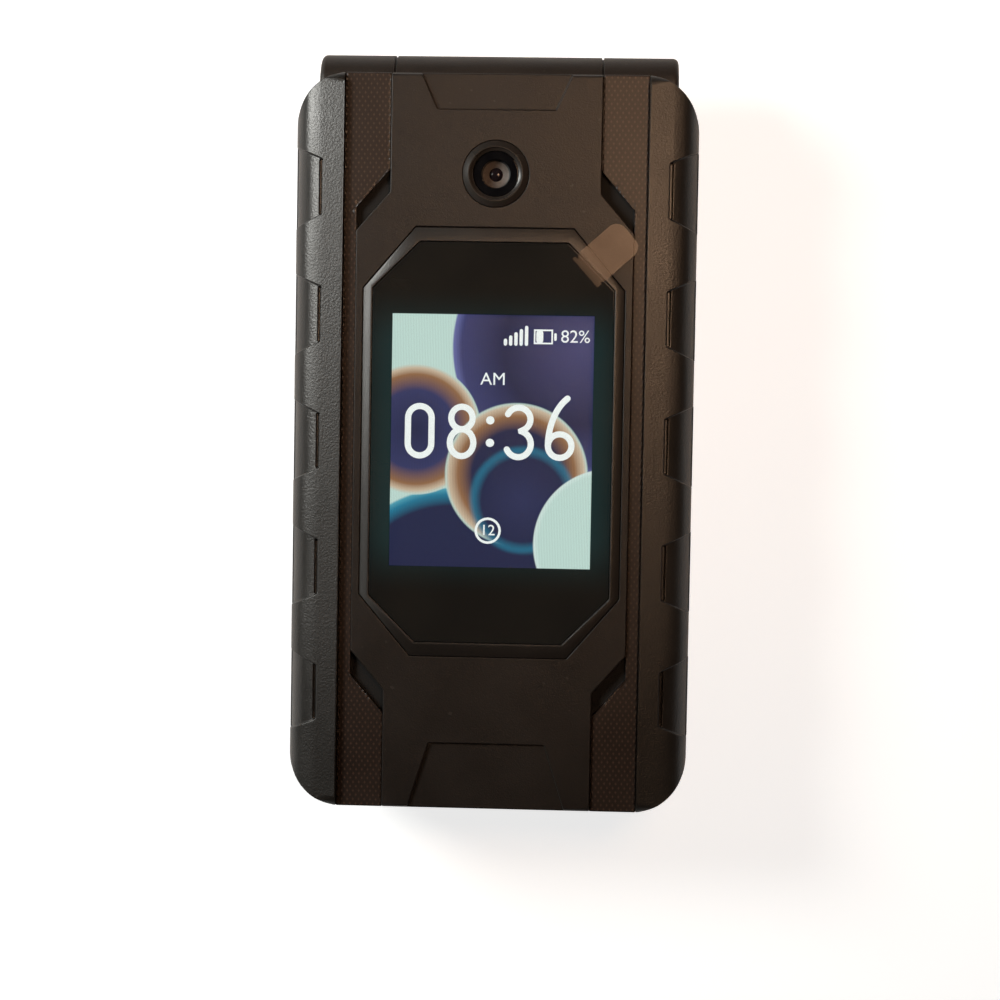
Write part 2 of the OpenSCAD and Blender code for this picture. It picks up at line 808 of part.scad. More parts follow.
module hinge_caps() {
    color("#211e1c") in_frame() for (s = [0, 1]) mirror([s, 0, 0])
        hinge_rod(barrel_len / 2 - cap_t, barrel_len / 2, hinge_r - 1.3);
}

// ---- Base ----

// Opening or body of a rounded key seen from above
module key_outline(w, l, grow = 0) {
    rounded(w + 2 * grow, l + 2 * grow, key_r + grow);
}

// Places of the keys that have the number keys' form
module key_holes() {
    for (y = row_y, c = columns) translate([c * column_pitch, y]) key_outline(key_w, key_l, play);
    translate([0, clear_y]) key_outline(key_w, key_l, play);
    for (s = [-1, 1], y = [soft_y, call_y])
        translate([s * side_x, y]) key_outline(side_key_w, side_key_l, play);
}

// Front shell of the base: key openings, side button openings and knuckles
module base_front_cover() {
    color("#24211f") in_frame() difference() {
        union() {
            difference() {
                prism(case_h, base_t) base_plan();
                prism(case_h - eps, base_face) intersection() {
                    base_plan(wall);
                    translate([-half_w, -front_len]) square([body_w, front_len + lid_rear_in]);
                }
            }
            hinge_rod(-barrel_len / 2, -knuckle_in, hinge_r);
            hinge_rod(knuckle_in, barrel_len / 2, hinge_r);
            at_base_screws() translate([0, 0, case_h])
                cylinder(h = base_t - case_h - 0.1, r = screw_r + post_wall);
        }
        prism(base_face - eps, base_t + eps) {
            key_holes();
            translate([0, nav_y]) circle(nav_r + play + 0.05);
            translate([0, -front_len + 6]) square([2.4, 0.8], center = true);
        }
        hinge_rod(-knuckle_in, knuckle_in, hinge_r + play);
        hinge_rod(-barrel_len, -knuckle_in + eps, cartridge_r + fit);
        hinge_rod(knuckle_in - eps, barrel_len, cartridge_r + fit);
        for (s = [0, 1]) mirror([s, 0, 0])
            hinge_rod(barrel_len / 2 - cap_t - fit, barrel_len, hinge_r - 1.3 + fit);
        at_base_screws() translate([0, 0, case_h - eps])
            cylinder(h = base_face - case_h, r = screw_r + fit);
        side_slot(-1, rocker_y, rocker_l);
        side_slot(1, rocker_y, button_l);
    }
}

// Opening in a side wall for a button
module side_slot(side, y, l) {
    translate([side * base_half, y, button_z])
        cube([3 * wall, l + 2 * play, button_h + 2 * play], center = true);
}

// Rear shell of the base: battery bay, cover seat, flap seat and grille
module base_rear_case() {
    color("#2a2725") in_frame() difference() {
        union() {
            difference() {
                base_form(0, case_h);
                prism(wall, case_h + eps) intersection() {
                    base_plan(wall);
                    translate([-half_w, -front_len]) square([body_w, front_len + lid_rear_in]);
                }
            }
            at_base_screws() translate([0, 0, 0.5]) cylinder(h = case_h - 0.5, r = head_r + boss_wall);
            prism(0.5, case_h) translate([base_half - wall - 1.4, usb_y - flap_l / 2 - 1.5])
                square([1.6, flap_l + 3]);
            prism(wall, wall + 1.4) translate([0, door_mid])
                square([door_w + 2, door_rear - door_front + 2], center = true);
        }
        prism(-eps, wall + fit) translate([0, door_mid])
            rounded(door_w + 2 * fit, door_rear - door_front + 2 * fit, 4);
        prism(0, wall + 2) translate([0, battery_y])
            square([battery_w + 1, battery_l + 1], center = true);
        translate([0, lock_y, 0]) cylinder(h = wall + 2, r = lock_tongue_r + play);
        at_base_screws() {
            translate([0, 0, -eps]) cylinder(h = head_h + sink + 0.1 + eps, r = head_r + fit);
            translate([0, 0, 0]) cylinder(h = over, r = screw_r + fit);
        }
        for (i = [-2:2], j = [0, 1]) translate([speaker_x + i * 2, grille_y + j * 2, -eps])
            cylinder(h = wall + 1, r = 0.6);
        flap_room();
        translate([base_half - 4, usb_y - socket_w / 2 - 0.2, usb_z - socket_h / 2])
            cube([over, socket_w + 0.4, socket_h]);
    }
}

// Recess in the side wall for the connector flap
module flap_room() {
    x0 = base_half - flap_t - 0.1;
    translate([x0, usb_y - flap_l / 2 - play, flap_z - flap_h / 2 - play])
        cube([over, flap_l - flap_t / 2 + play, flap_h + 2 * play]);
    translate([base_half - flap_t / 2, flap_end - flap_t / 2, flap_z - flap_h / 2 - play])
        cylinder(h = flap_h + 2 * play, r = flap_t / 2 + 0.1);
    translate([base_half - flap_t / 2, flap_end - flap_t, flap_z - flap_h / 2 - play])
        cube([over, flap_t + 0.1, flap_h + 2 * play]);
}

// Rubber flap over the connector, turning about its rounded end
module usb_flap() {
    color("#1b1a19") in_frame() translate([base_half - flap_t, 0, flap_z - flap_h / 2]) {
        translate([0, usb_y - flap_l / 2, 0]) cube([flap_t, flap_l - flap_t / 2, flap_h]);
        translate([flap_t / 2, flap_end - flap_t / 2, 0]) cylinder(h = flap_h, r = flap_t / 2);
    }
}

// Connector under the main board, its mouth towards the flap
module usb_socket() {
    shell = 0.5;
    color("#b4b7ba") in_frame() difference() {
        translate([socket_x, usb_y - socket_w / 2, usb_z - socket_h / 2])
            cube([socket_l, socket_w, socket_h]);
        translate([socket_x + shell, usb_y - socket_w / 2 + shell, usb_z - socket_h / 2 + shell])
            cube([socket_l, socket_w - 2 * shell, socket_h - 2 * shell]);
    }
}

// Rubber sheet under the keys
module key_mat() {
    color("#5b6064") in_frame() prism(mat_z, mat_top) difference() {
        translate([0, (lid_rear_in - front_len) / 2 + 1])
            rounded(2 * (screw_x - 1.9), front_len + lid_rear_in - 8, 3);
        at_base_screws() circle(screw_r + 1.5);
    }
}

module main_board() {
    color("#1c4f31") in_frame() prism(board_z, board_z + board_t) difference() {
        intersection() {
            base_plan(wall + play);
            translate([-half_w, -front_len]) square([body_w, front_len + lid_rear_in - 0.3]);
        }
        at_base_screws() circle(head_r + 1.1);
        translate([base_half - wall - 1.7, usb_y - flap_l / 2 - 1.8]) square([4, flap_l + 3.6]);
    }
}

module rf_shield() {
    color("#b8bbbe") in_frame() prism(shield_z, shield_z + shield_t)
        translate([0, battery_y]) rounded(shield_w, shield_l, 1);
}

module battery() {
    color("#c9c4b4") in_frame() prism(battery_z, battery_z + battery_t)
        translate([0, battery_y]) rounded(battery_w, battery_l, 1);
}

// Cover over the battery, bored for its lock
module battery_cover() {
    color("#282523") in_frame() difference() {
        prism(0, wall) translate([0, door_mid]) rounded(door_w, door_rear - door_front, 4);
        translate([0, lock_y, -eps]) cylinder(h = wall + 2 * eps, r = lock_r + 0.1);
        for (i = [0:4]) translate([0, door_front + 5 + i * 1.6, 0.15])
            cube([16, 0.6, 0.6], center = true);
    }
}

// Coin-turned lock whose tongue catches behind the rear case
module battery_lock() {
    color("#3a3633") in_frame() translate([0, lock_y, 0]) difference() {
        union() {
            cylinder(h = wall + 0.1, r = lock_r);
            intersection() {
                translate([0, 0, wall + 0.1]) cylinder(h = 0.9, r = lock_tongue_r);
                translate([-2, -over, 0]) cube([4, 2 * over, over]);
            }
        }
        translate([-2.6, -0.5, -eps]) cube([5.2, 1, eps + 0.7]);
    }
}

module loudspeaker() {
    color("#2e2f31") in_frame() prism(wall + fit, wall + fit + speaker_t)
        translate([speaker_x, speaker_y]) rounded(speaker_w, speaker_l, 2);
}

// Small motor whose shaft turns an off-centre weight
module vibration_motor() {
    weight_l = 2;
    color("#a9abae") in_frame() translate([motor_x, speaker_y, wall + fit + motor_r])
        rotate([0, 90, 0]) {
            cylinder(h = motor_l - weight_l - 0.8, r = motor_r);
            cylinder(h = motor_l, r = 0.4);
            translate([0, 0, motor_l - weight_l]) cylinder(h = weight_l, r = motor_r - 0.6);
        }
}

module base_screws() {
    color("#70706e") in_frame() at_base_screws() difference() {
        union() {
            translate([0, 0, sink]) cylinder(h = head_h, r = head_r);
            translate([0, 0, sink]) cylinder(h = case_h + thread_l - sink, r = screw_r);
        }
        for (a = [0, 90]) rotate(a) translate([-0.9, -0.2, sink - 0.1]) cube([1.8, 0.4, 0.5]);
    }
}

// Side button with a retaining plate behind the wall
module side_piece(side, y, l) {
    translate([side * (base_half + button_rise - (wall + 0.8) / 2), y, button_z])
        cube([wall + 0.8, l, button_h], center = true);
    translate([side * (base_half - wall - play - 0.35), y, button_z])
        cube([0.6, l + 1.6, button_h + 0.2], center = true);
}

module volume_rocker() {
    color("#1f1d1c") in_frame() side_piece(-1, rocker_y, rocker_l);
}

module side_button() {
    color("#1f1d1c") in_frame() side_piece(1, rocker_y, button_l);
}

// ---- Keys ----

// Key with its retaining lip
module key(x, y, w, l) {
    in_frame() translate([x, y]) {
        prism(key_z, key_top) key_outline(w, l);
        prism(key_z, lip_top) key_outline(w, l, key_lip);
    }
}

// Number key in a row, counted from the top, and a column
module number_key(row, column) {
    color("#33302e") key(columns[column] * column_pitch, row_y[row], key_w, key_l);
}

module key_soft_left() {
    color("#33302e") key(-side_x, soft_y, side_key_w, side_key_l);
}

module key_soft_right() {
    color("#33302e") key(side_x, soft_y, side_key_w, side_key_l);
}

module key_call() {
    color("#2f5a3a") key(-side_x, call_y, side_key_w, side_key_l);
}

module key_end() {
    color("#7a2f2a") key(side_x, call_y, side_key_w, side_key_l);
}

module key_clear() {
    color("#33302e") key(0, clear_y, key_w, key_l);
}

// Rocking carrier under the four-way ring
module nav_carrier() {
    color("#4a4d50") in_frame() translate([0, nav_y]) prism(key_z, key_z + carrier_t) difference() {
        circle(nav_r + key_lip);
        circle(nav_hole_r);
    }
}

module nav_ring() {
    color("#3a3735") in_frame() translate([0, nav_y])
        prism(key_z + carrier_t + nav_gap, key_top) difference() {
        circle(nav_r);
        circle(nav_hole_r);
    }
}

module ok_key() {
    color("#403c39") in_frame() translate([0, nav_y]) {
        prism(key_z, key_top) circle(ok_r);
        prism(key_z, lip_top) circle(ok_r + key_lip);
    }
}

lid_outer_cover();
lid_rail_left();
lid_rail_right();
lid_strip_left();
lid_strip_right();
window_bezel();
outer_window();
outer_display();
window_film();
camera_ring();
camera_window();
camera_module();
lid_frame();
lid_inner_cover();
main_window();
main_display();
earpiece();
lid_board();
lid_bumpers();
lid_screws();
hinge_cartridge();
hinge_flex();
hinge_shaft();
hinge_bush();
hinge_caps();
base_front_cover();
base_rear_case();
key_mat();
main_board();
rf_shield();
battery();
battery_cover();
battery_lock();
loudspeaker();
vibration_motor();
usb_socket();
usb_flap();
volume_rocker();
side_button();
base_screws();
nav_carrier();
nav_ring();
ok_key();
key_soft_left();
key_soft_right();
key_call();
key_end();
key_clear();
number_key(0, 0);  // key_1
number_key(0, 1);  // key_2
number_key(0, 2);  // key_3
number_key(1, 0);  // key_4
number_key(1, 1);  // key_5
number_key(1, 2);  // key_6
number_key(2, 0);  // key_7
number_key(2, 1);  // key_8
number_key(2, 2);  // key_9
number_key(3, 0);  // key_star
number_key(3, 1);  // key_0
number_key(3, 2);  // key_hash
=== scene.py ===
from math import cos, pi, radians, sin, sqrt

import bmesh
import bpy
from mathutils import Matrix, Vector


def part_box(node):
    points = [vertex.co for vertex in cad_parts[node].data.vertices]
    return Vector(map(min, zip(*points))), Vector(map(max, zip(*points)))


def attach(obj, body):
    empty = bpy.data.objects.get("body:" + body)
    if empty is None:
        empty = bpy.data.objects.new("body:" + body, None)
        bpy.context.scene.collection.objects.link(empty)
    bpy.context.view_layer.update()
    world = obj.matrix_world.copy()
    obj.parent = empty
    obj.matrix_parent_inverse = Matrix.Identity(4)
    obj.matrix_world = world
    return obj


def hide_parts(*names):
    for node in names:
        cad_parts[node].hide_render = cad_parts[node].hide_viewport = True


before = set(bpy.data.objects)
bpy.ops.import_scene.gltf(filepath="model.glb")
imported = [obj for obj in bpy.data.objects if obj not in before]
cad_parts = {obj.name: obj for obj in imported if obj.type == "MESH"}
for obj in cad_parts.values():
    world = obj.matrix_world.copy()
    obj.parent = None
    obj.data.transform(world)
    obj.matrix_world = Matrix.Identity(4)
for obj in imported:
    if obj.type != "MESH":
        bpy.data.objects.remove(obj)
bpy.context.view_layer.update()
MM = 0.001


# ---- Camera ----
# The photograph was taken by hand from about 300 mm above the closed phone, almost
# straight down, from a point a little behind and to the right of its middle.
sensor_width = 36
focal_in_pixels = 2031.2
picture_in_pixels = 1000
right = Vector((0.999078, 0.017309, -0.039293))
up = Vector((-0.019117, 0.998754, -0.046102))
back = Vector((0.038446, 0.046811, 0.998164))
viewpoint = Matrix.Translation(Vector((12.08, 3.65, 300)) * MM)
camera_data = bpy.data.cameras.new("view_from_above")
camera_data.sensor_width = sensor_width
camera_data.lens = sensor_width * focal_in_pixels / picture_in_pixels
camera_data.clip_start = 10 * MM
camera = bpy.data.objects.new("view_from_above", camera_data)
camera.matrix_world = viewpoint @ Matrix((right, up, back)).transposed().to_4x4()
bpy.context.scene.collection.objects.link(camera)
bpy.context.scene.camera = camera


# ---- Rear shell of the base ----
# Injection-moulded rear half of the base: fine spark-eroded grain, edges eased by
# the mould, screw wells, speaker holes and the seat of the battery door.
def new_material(name):
    material = bpy.data.materials.new(name)
    material.use_nodes = True
    material.node_tree.nodes.clear()
    return material


def add(material, kind, sockets=None, **settings):
    node = material.node_tree.nodes.new("ShaderNode" + kind)
    for key, value in settings.items():
        setattr(node, key, value)
    for key, value in (sockets or {}).items():
        if isinstance(value, bpy.types.NodeSocket):
            material.node_tree.links.new(value, node.inputs[key])
        else:
            node.inputs[key].default_value = value
    return node


def maths(material, operation, *values):
    sockets = dict(enumerate(values))
    return add(material, "Math", sockets, operation=operation).outputs[0]


def mixed(material, factor, one, two, how="MIX"):
    sockets = {0: factor, 6: one, 7: two}
    return add(material, "Mix", sockets, data_type="RGBA", blend_type=how).outputs[2]


def ramp(material, factor, *stops):
    node = add(material, "ValToRGB", {0: factor})
    elements = node.color_ramp.elements
    while len(elements) < len(stops):
        elements.new(1)
    for element, (position, colour) in zip(elements, stops):
        element.position = position
        element.color = (*colour, 1) if isinstance(colour, tuple) else (colour,) * 3 + (1,)
    return node.outputs[0]


def mapped(material, value, from_low, from_high, to_low, to_high, how="LINEAR"):
    sockets = {0: value, 1: from_low, 2: from_high, 3: to_low, 4: to_high}
    return add(material, "MapRange", sockets, interpolation_type=how).outputs[0]


def noise(material, size, detail=2, roughness=0.5):
    place = add(material, "TexCoord").outputs["Object"]
    sockets = {"Vector": place, "Scale": 1 / (size * MM), "Detail": detail, "Roughness": roughness}
    return add(material, "TexNoise", sockets).outputs[0]


def finish_with(material, **sockets):
    sockets = {key.replace("_", " "): value for key, value in sockets.items()}
    shader = add(material, "BsdfPrincipled", sockets)
    add(material, "OutputMaterial", {0: shader.outputs[0]})
    return material


def level_in(material):
    place = add(material, "TexCoord").outputs["Object"]
    return add(material, "SeparateXYZ", {0: place}).outputs[2]


def tinted(colour, share):
    return tuple(channel * share for channel in colour)


def moulded(
    name, colour, roughness=0.5, grain=0.24, depth=0.03, dust=0.0, gloss=0.4, tip_highlight=None,
    shadow=None, rougher=None,
):
    cloud_size, speck_size = 14, 0.9
    tip_highlight_share, shadow_share = 3.6, 0.25
    dust_grey = (0.2, 0.18, 0.16, 1)
    plastic = new_material(name)
    fine = noise(plastic, grain, 3, 0.55)
    cloud = noise(plastic, cloud_size, 4, 0.6)
    base = ramp(plastic, cloud, (0.3, tinted(colour, 0.86)), (0.7, tinted(colour, 1.14)))
    base = mixed(plastic, 0.7, base, ramp(plastic, fine, (0.3, 0.7), (0.7, 1.3)), "MULTIPLY")
    if dust:
        specks = noise(plastic, speck_size, 1, 0.3)
        amount = mapped(plastic, specks, 0.76, 0.8, 0, dust)
        base = mixed(plastic, amount, base, dust_grey)
    # Painted highlight: the colour turns lighter towards the top of the given height band, on the
    # knurl's points.
    if tip_highlight:
        tip_light = mapped(plastic, level_in(plastic), tip_highlight[0], tip_highlight[1], 0, 1)
        base = mixed(plastic, tip_light, base, (*tinted(colour, tip_highlight_share), 1))
    if shadow:
        base = mixed(plastic, shadow(plastic), base, (*tinted(colour, shadow_share), 1))
    rough = mapped(plastic, cloud, 0.3, 0.7, roughness - 0.05, roughness + 0.05)
    if rougher:
        rough = maths(plastic, "ADD", rough, rougher(plastic))
    bump = add(plastic, "Bump", {"Strength": 1.0, "Distance": depth * MM, "Height": fine})
    return finish_with(
        plastic, Base_Color=base, Roughness=rough, Specular_IOR_Level=gloss, Normal=bump.outputs[0]
    )


def mesh_of(form, name):
    mesh = bpy.data.meshes.new(name)
    form.to_mesh(mesh)
    form.free()
    return mesh


def new_piece(name, form, body, slot, *materials):
    sharp_from = radians(34)
    mesh = mesh_of(form, name)
    piece = bpy.data.objects.new(name, mesh)
    bpy.context.scene.collection.objects.link(piece)
    for material in materials:
        mesh.materials.append(material)
    mesh.shade_smooth()
    mesh.set_sharp_from_angle(angle=sharp_from)
    even = piece.modifiers.new("even_shading", "WEIGHTED_NORMAL")
    even.keep_sharp = True
    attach(piece, body)
    return piece


def cad_form(node):
    flat_within = radians(0.6)
    form = bmesh.new()
    form.from_mesh(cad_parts[node].data)
    bmesh.ops.remove_doubles(form, verts=form.verts, dist=0.002 * MM)
    bmesh.ops.dissolve_limit(form, angle_limit=flat_within, verts=form.verts, edges=form.edges)
    for face in form.faces:
        face.material_index = 0
    return form


def ease(form, radius, steps=2, crease=30, where=None):
    edges = [
        edge
        for edge in form.edges
        if len(edge.link_faces) == 2
        and edge.calc_face_angle() > radians(crease)
        and (where is None or where((edge.verts[0].co + edge.verts[1].co) / 2 / MM))
    ]
    bmesh.ops.bevel(
        form, geom=edges, offset=radius * MM, offset_type="OFFSET", affect="EDGES",
        segments=steps, profile=0.5, material=-1, clamp_overlap=False, miter_outer="ARC",
    )
    return form


def eased_piece(node, name, radius, body, slot, material):
    piece = new_piece(name, ease(cad_form(node), radius), body, slot, material)
    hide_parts(node)


case_plastic = moulded("case_plastic", (0.0155, 0.0118, 0.0096), 0.5, dust=0.06, gloss=0.5)
eased_piece("base_rear_case", "rear_shell", 0.1, "base", "case_plastic", case_plastic)


# ---- Loudspeaker, motor and connector ----
# Bought-in parts that lie in the rear shell: a black speaker with a fabric front, a
# plain steel vibration motor with its weight, and the stamped connector shell.
def dress(node, material):
    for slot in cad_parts[node].material_slots:
        slot.material = material


def drawn_metal(name, colour, roughness, stretch=(1, 1, 1)):
    metal = new_material(name)
    place = add(metal, "TexCoord").outputs["Object"]
    drawn = add(metal, "Mapping", {"Vector": place, "Scale": stretch}).outputs[0]
    lines_per_metre = 2600
    sockets = {"Vector": drawn, "Scale": lines_per_metre, "Detail": 3}
    lines = add(metal, "TexNoise", sockets).outputs[0]
    base = ramp(metal, lines, (0.3, tinted(colour, 0.78)), (0.7, colour))
    rough = mapped(metal, lines, 0.3, 0.7, roughness - 0.08, roughness + 0.1)
    bump = add(metal, "Bump", {"Strength": 0.5, "Distance": 0.004 * MM, "Height": lines})
    return finish_with(
        metal, Base_Color=base, Roughness=rough, Metallic=1.0, Normal=bump.outputs[0]
    )


module_plastic = moulded("module_plastic", (0.012, 0.012, 0.013), 0.45, grain=0.12)
shield_metal = drawn_metal("shield_metal", (0.62, 0.63, 0.64), 0.32, (1, 0.08, 1))
dress("loudspeaker", module_plastic)
dress("vibration_motor", shield_metal)
dress("usb_socket", shield_metal)


# ---- Boards and radio shield ----
# Glass-fibre boards under green solder mask, with copper tracks showing through it and
# gold pads, and the stamped steel can that screens the radio.
def masked_board(name):
    tracks_per_metre, pads_per_metre = 420, 700
    mask_green, track_green = (0.008, 0.07, 0.03, 1), (0.03, 0.2, 0.09, 1)
    pad_gold = (0.75, 0.55, 0.25, 1)
    board = new_material(name)
    place = add(board, "TexCoord").outputs["Object"]
    cells = {"Vector": place, "Scale": tracks_per_metre}
    edge = add(board, "TexVoronoi", cells, feature="DISTANCE_TO_EDGE").outputs["Distance"]
    track = mapped(board, edge, 0.02, 0.05, 1, 0)
    dots = {"Vector": place, "Scale": pads_per_metre, "Randomness": 0.25}
    spot = add(board, "TexVoronoi", dots).outputs["Distance"]
    pad = mapped(board, spot, 0.16, 0.2, 1, 0)
    base = mixed(board, track, mask_green, track_green)
    base = mixed(board, pad, base, pad_gold)
    rough = mapped(board, pad, 0, 1, 0.35, 0.22)
    height = maths(board, "ADD", track, pad)
    bump = add(board, "Bump", {"Strength": 0.6, "Distance": 0.02 * MM, "Height": height})
    return finish_with(
        board, Base_Color=base, Roughness=rough, Metallic=pad, Normal=bump.outputs[0]
    )


circuit_board = masked_board("circuit_board")
dress("main_board", circuit_board)
dress("lid_board", circuit_board)
dress("rf_shield", shield_metal)


# ---- Key mat and carrier ----
# Grey silicone sheet whose domes push the keys back up, and the rocking carrier that
# lies under the four-way ring.
mat_rubber = moulded("mat_rubber", (0.22, 0.24, 0.25), 0.62, grain=0.5)
dress("key_mat", mat_rubber)
dress("nav_carrier", mat_rubber)


# ---- Keys ----
# Moulded keys, each with an eased rim and a slightly raised middle that carries its
# printed number or sign. The call key is green and the end key is red.
def without_holder(curve):
    holder = bpy.data.objects.new("pattern", curve)
    mesh = bpy.data.meshes.new_from_object(holder)
    bpy.data.objects.remove(holder)
    return mesh


def lettering(words, height, thick=0.01):
    capital_share = 0.72
    curve = bpy.data.curves.new("lettering", "FONT")
    curve.body = words
    curve.size = height / capital_share * MM
    curve.extrude = thick * MM
    curve.align_x = "CENTER"
    curve.align_y = "CENTER"
    return without_holder(curve)


def stroke(points, width, closed=False, thick=0.03):
    curve = bpy.data.curves.new("stroke", "CURVE")
    curve.dimensions = "3D"
    curve.bevel_depth = width / 2 * MM
    curve.bevel_resolution = 2
    curve.use_fill_caps = True
    line = curve.splines.new("POLY")
    sizes = [1] * len(points)
    points = [Vector(point) for point in points]
    if not closed:
        round_end = [(0.5, 0.87), (0.85, 0.53), (1, 0.05)]
        start = (points[0] - points[1]).normalized() * width / 2
        stop = (points[-1] - points[-2]).normalized() * width / 2
        first, last = points[0].copy(), points[-1].copy()
        points = [first + start * d for d, _ in reversed(round_end)] + points
        points += [last + stop * d for d, _ in round_end]
        ends = [size for _, size in round_end]
        sizes = ends[::-1] + sizes + ends
    line.points.add(len(points) - 1)
    for target, point, size in zip(line.points, points, sizes):
        target.co = (point.x * MM, point.y * MM, 0, 1)
        target.radius = size
    line.use_cyclic_u = closed
    mesh = without_holder(curve)
    mesh.transform(Matrix.Diagonal((1, 1, thick / width, 1)))
    return mesh


def arc(x, y, rx, ry, start, stop, steps=16):
    turns = [radians(start + (stop - start) * i / steps) for i in range(steps + 1)]
    return [(x + rx * cos(turn), y + ry * sin(turn)) for turn in turns]


def lay(form, mesh, place, material_index=1):
    mesh.transform(place)
    before = set(form.faces)
    form.from_mesh(mesh)
    for face in form.faces:
        if face not in before:
            face.material_index = material_index


def highest_face(form):
    level = [face for face in form.faces if face.normal.z > 0.99]
    return max(level, key=lambda face: (round(face.calc_center_median().z, 5), face.calc_area()))


def middle_of(node):
    low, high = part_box(node)
    return (low + high) / 2


def key_piece(node, marks, slot, material, rim=0.35, land=0.9, crown=0.13):
    print_height = 0.012
    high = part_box(node)[1]
    top = high.z / MM
    form = ease(cad_form(node), rim, 3, where=lambda point: point.z > top - 0.02)
    face = highest_face(form)
    bmesh.ops.inset_region(form, faces=[face], thickness=land * MM, depth=0)
    bmesh.ops.translate(form, verts=face.verts, vec=(0, 0, crown * MM))
    middle = middle_of(node)
    place = Matrix.Translation((middle.x, middle.y, high.z + (crown + print_height) * MM))
    for mark in marks:
        lay(form, mark, place)
    piece = new_piece(node + "_cap", form, node, slot, material, key_print)
    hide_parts(node)


def handset():
    bend, below = 3, -2.6
    grip = stroke(arc(0, below, bend, bend, 50, 130), 0.55)
    ends = [stroke(arc(0, below, bend, bend, a, a + 12, 4), 1.1) for a in (42, 126)]
    return [grip, *ends]


key_plastic = moulded("key_plastic", (0.03, 0.028, 0.026), 0.42, grain=0.16, depth=0.008)
call_plastic = moulded("call_plastic", (0.015, 0.11, 0.035), 0.42, grain=0.16, depth=0.008)
end_plastic = moulded("end_plastic", (0.26, 0.022, 0.014), 0.42, grain=0.16, depth=0.008)
key_print = moulded("key_print", (0.72, 0.72, 0.7), 0.5, grain=0.2, depth=0.004)
legends = {"key_%d" % number: str(number) for number in range(10)}
legends.update(key_star="*", key_hash="#")
legend_height = 3.2
for node, legend in legends.items():
    key_piece(node, [lettering(legend, legend_height)], "key_plastic", key_plastic)
back_arrow = stroke([(1.4, 0), (-1.4, 0), (-0.6, 0.8)], 0.4)
key_piece("key_clear", [back_arrow], "key_plastic", key_plastic)
for node in ("key_soft_left", "key_soft_right"):
    key_piece(node, [stroke([(-1.3, 0), (1.3, 0)], 0.5)], "key_plastic", key_plastic)
key_piece("key_call", handset(), "call_plastic", call_plastic)
key_piece("key_end", handset(), "end_plastic", end_plastic)


# ---- Four-way ring and centre key ----
# Satin ring that rocks to four sides, with a printed point at each, round a centre key
# that carries a plain printed circle.
ring_plastic = moulded("ring_plastic", (0.045, 0.042, 0.04), 0.3, grain=0.1, depth=0.004)
ring_middle = middle_of("nav_ring")
ring_face = Matrix.Translation((ring_middle.x, ring_middle.y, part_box("nav_ring")[1].z))
point_radius = 7.4
ring_form = ease(cad_form("nav_ring"), 0.3, 3)
for quarter in range(4):
    point = stroke([(-0.7, -0.3), (0, 0.4), (0.7, -0.3)], 0.3)
    point.transform(Matrix.Translation((0, point_radius * MM, 0)))
    lay(ring_form, point, ring_face @ Matrix.Rotation(quarter * pi / 2, 4, "Z"))
ring_cap = new_piece(
    "nav_ring_cap", ring_form, "nav_ring", "ring_plastic", ring_plastic, key_print
)
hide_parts("nav_ring")
printed_circle = stroke(arc(0, 0, 1.3, 1.3, 0, 337.5, 15), 0.35, closed=True)
key_piece("ok_key", [printed_circle], "ring_plastic", ring_plastic)


# ---- Front shell of the base ----
# The keypad deck with its openings, the side walls and the two outer knuckles of the
# hinge. The knuckles' ends are rounded off further than the other edges.
inner_plastic = moulded("inner_plastic", (0.0165, 0.0122, 0.0096), 0.46, dust=0.05, gloss=0.55)
hinge_middle = middle_of("hinge_shaft")
barrel_radius = 4.9
barrel_reach = 24
barrel_seam_x = 14.4


def round_barrel_end(point):
    reach = sqrt((point.y - hinge_middle.y / MM) ** 2 + (point.z - hinge_middle.z / MM) ** 2)
    return abs(reach - barrel_radius) < 0.06


def outer_barrel_end(point):
    return round_barrel_end(point) and abs(point.x) > barrel_reach


def barrel_seam(point):
    return round_barrel_end(point) and abs(point.x) < barrel_reach


def away_from_barrel(point):
    return not round_barrel_end(point)


deck = ease(cad_form("base_front_cover"), 0.75, 5, where=outer_barrel_end)
ease(deck, 0.1, 2, where=barrel_seam)
ease(deck, 0.08, 2, where=away_from_barrel)
front_shell = new_piece("front_shell", deck, "base", "inner_plastic", inner_plastic)
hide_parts("base_front_cover")


# ---- Side buttons and connector flap ----
# Two hard buttons that stand a little proud of the walls, and the soft rubber flap
# that closes the connector and turns about its rounded end.
pad_rubber = moulded("pad_rubber", (0.014, 0.013, 0.012), 0.7, grain=0.3)
rim = 0.12
eased_piece("volume_rocker", "volume_rocker_cap", rim, "volume_rocker", "key_plastic", key_plastic)
eased_piece("side_button", "side_button_cap", rim, "side_button", "key_plastic", key_plastic)
eased_piece("usb_flap", "flap_skin", rim, "usb_flap", "pad_rubber", pad_rubber)


# ---- Screws of both halves ----
# Small cross-head screws of dark turned steel, four in the base and four in the lid,
# each sunk in its own well.
screw_steel = drawn_metal("screw_steel", (0.4, 0.4, 0.39), 0.3)
dress("base_screws", screw_steel)
dress("lid_screws", screw_steel)


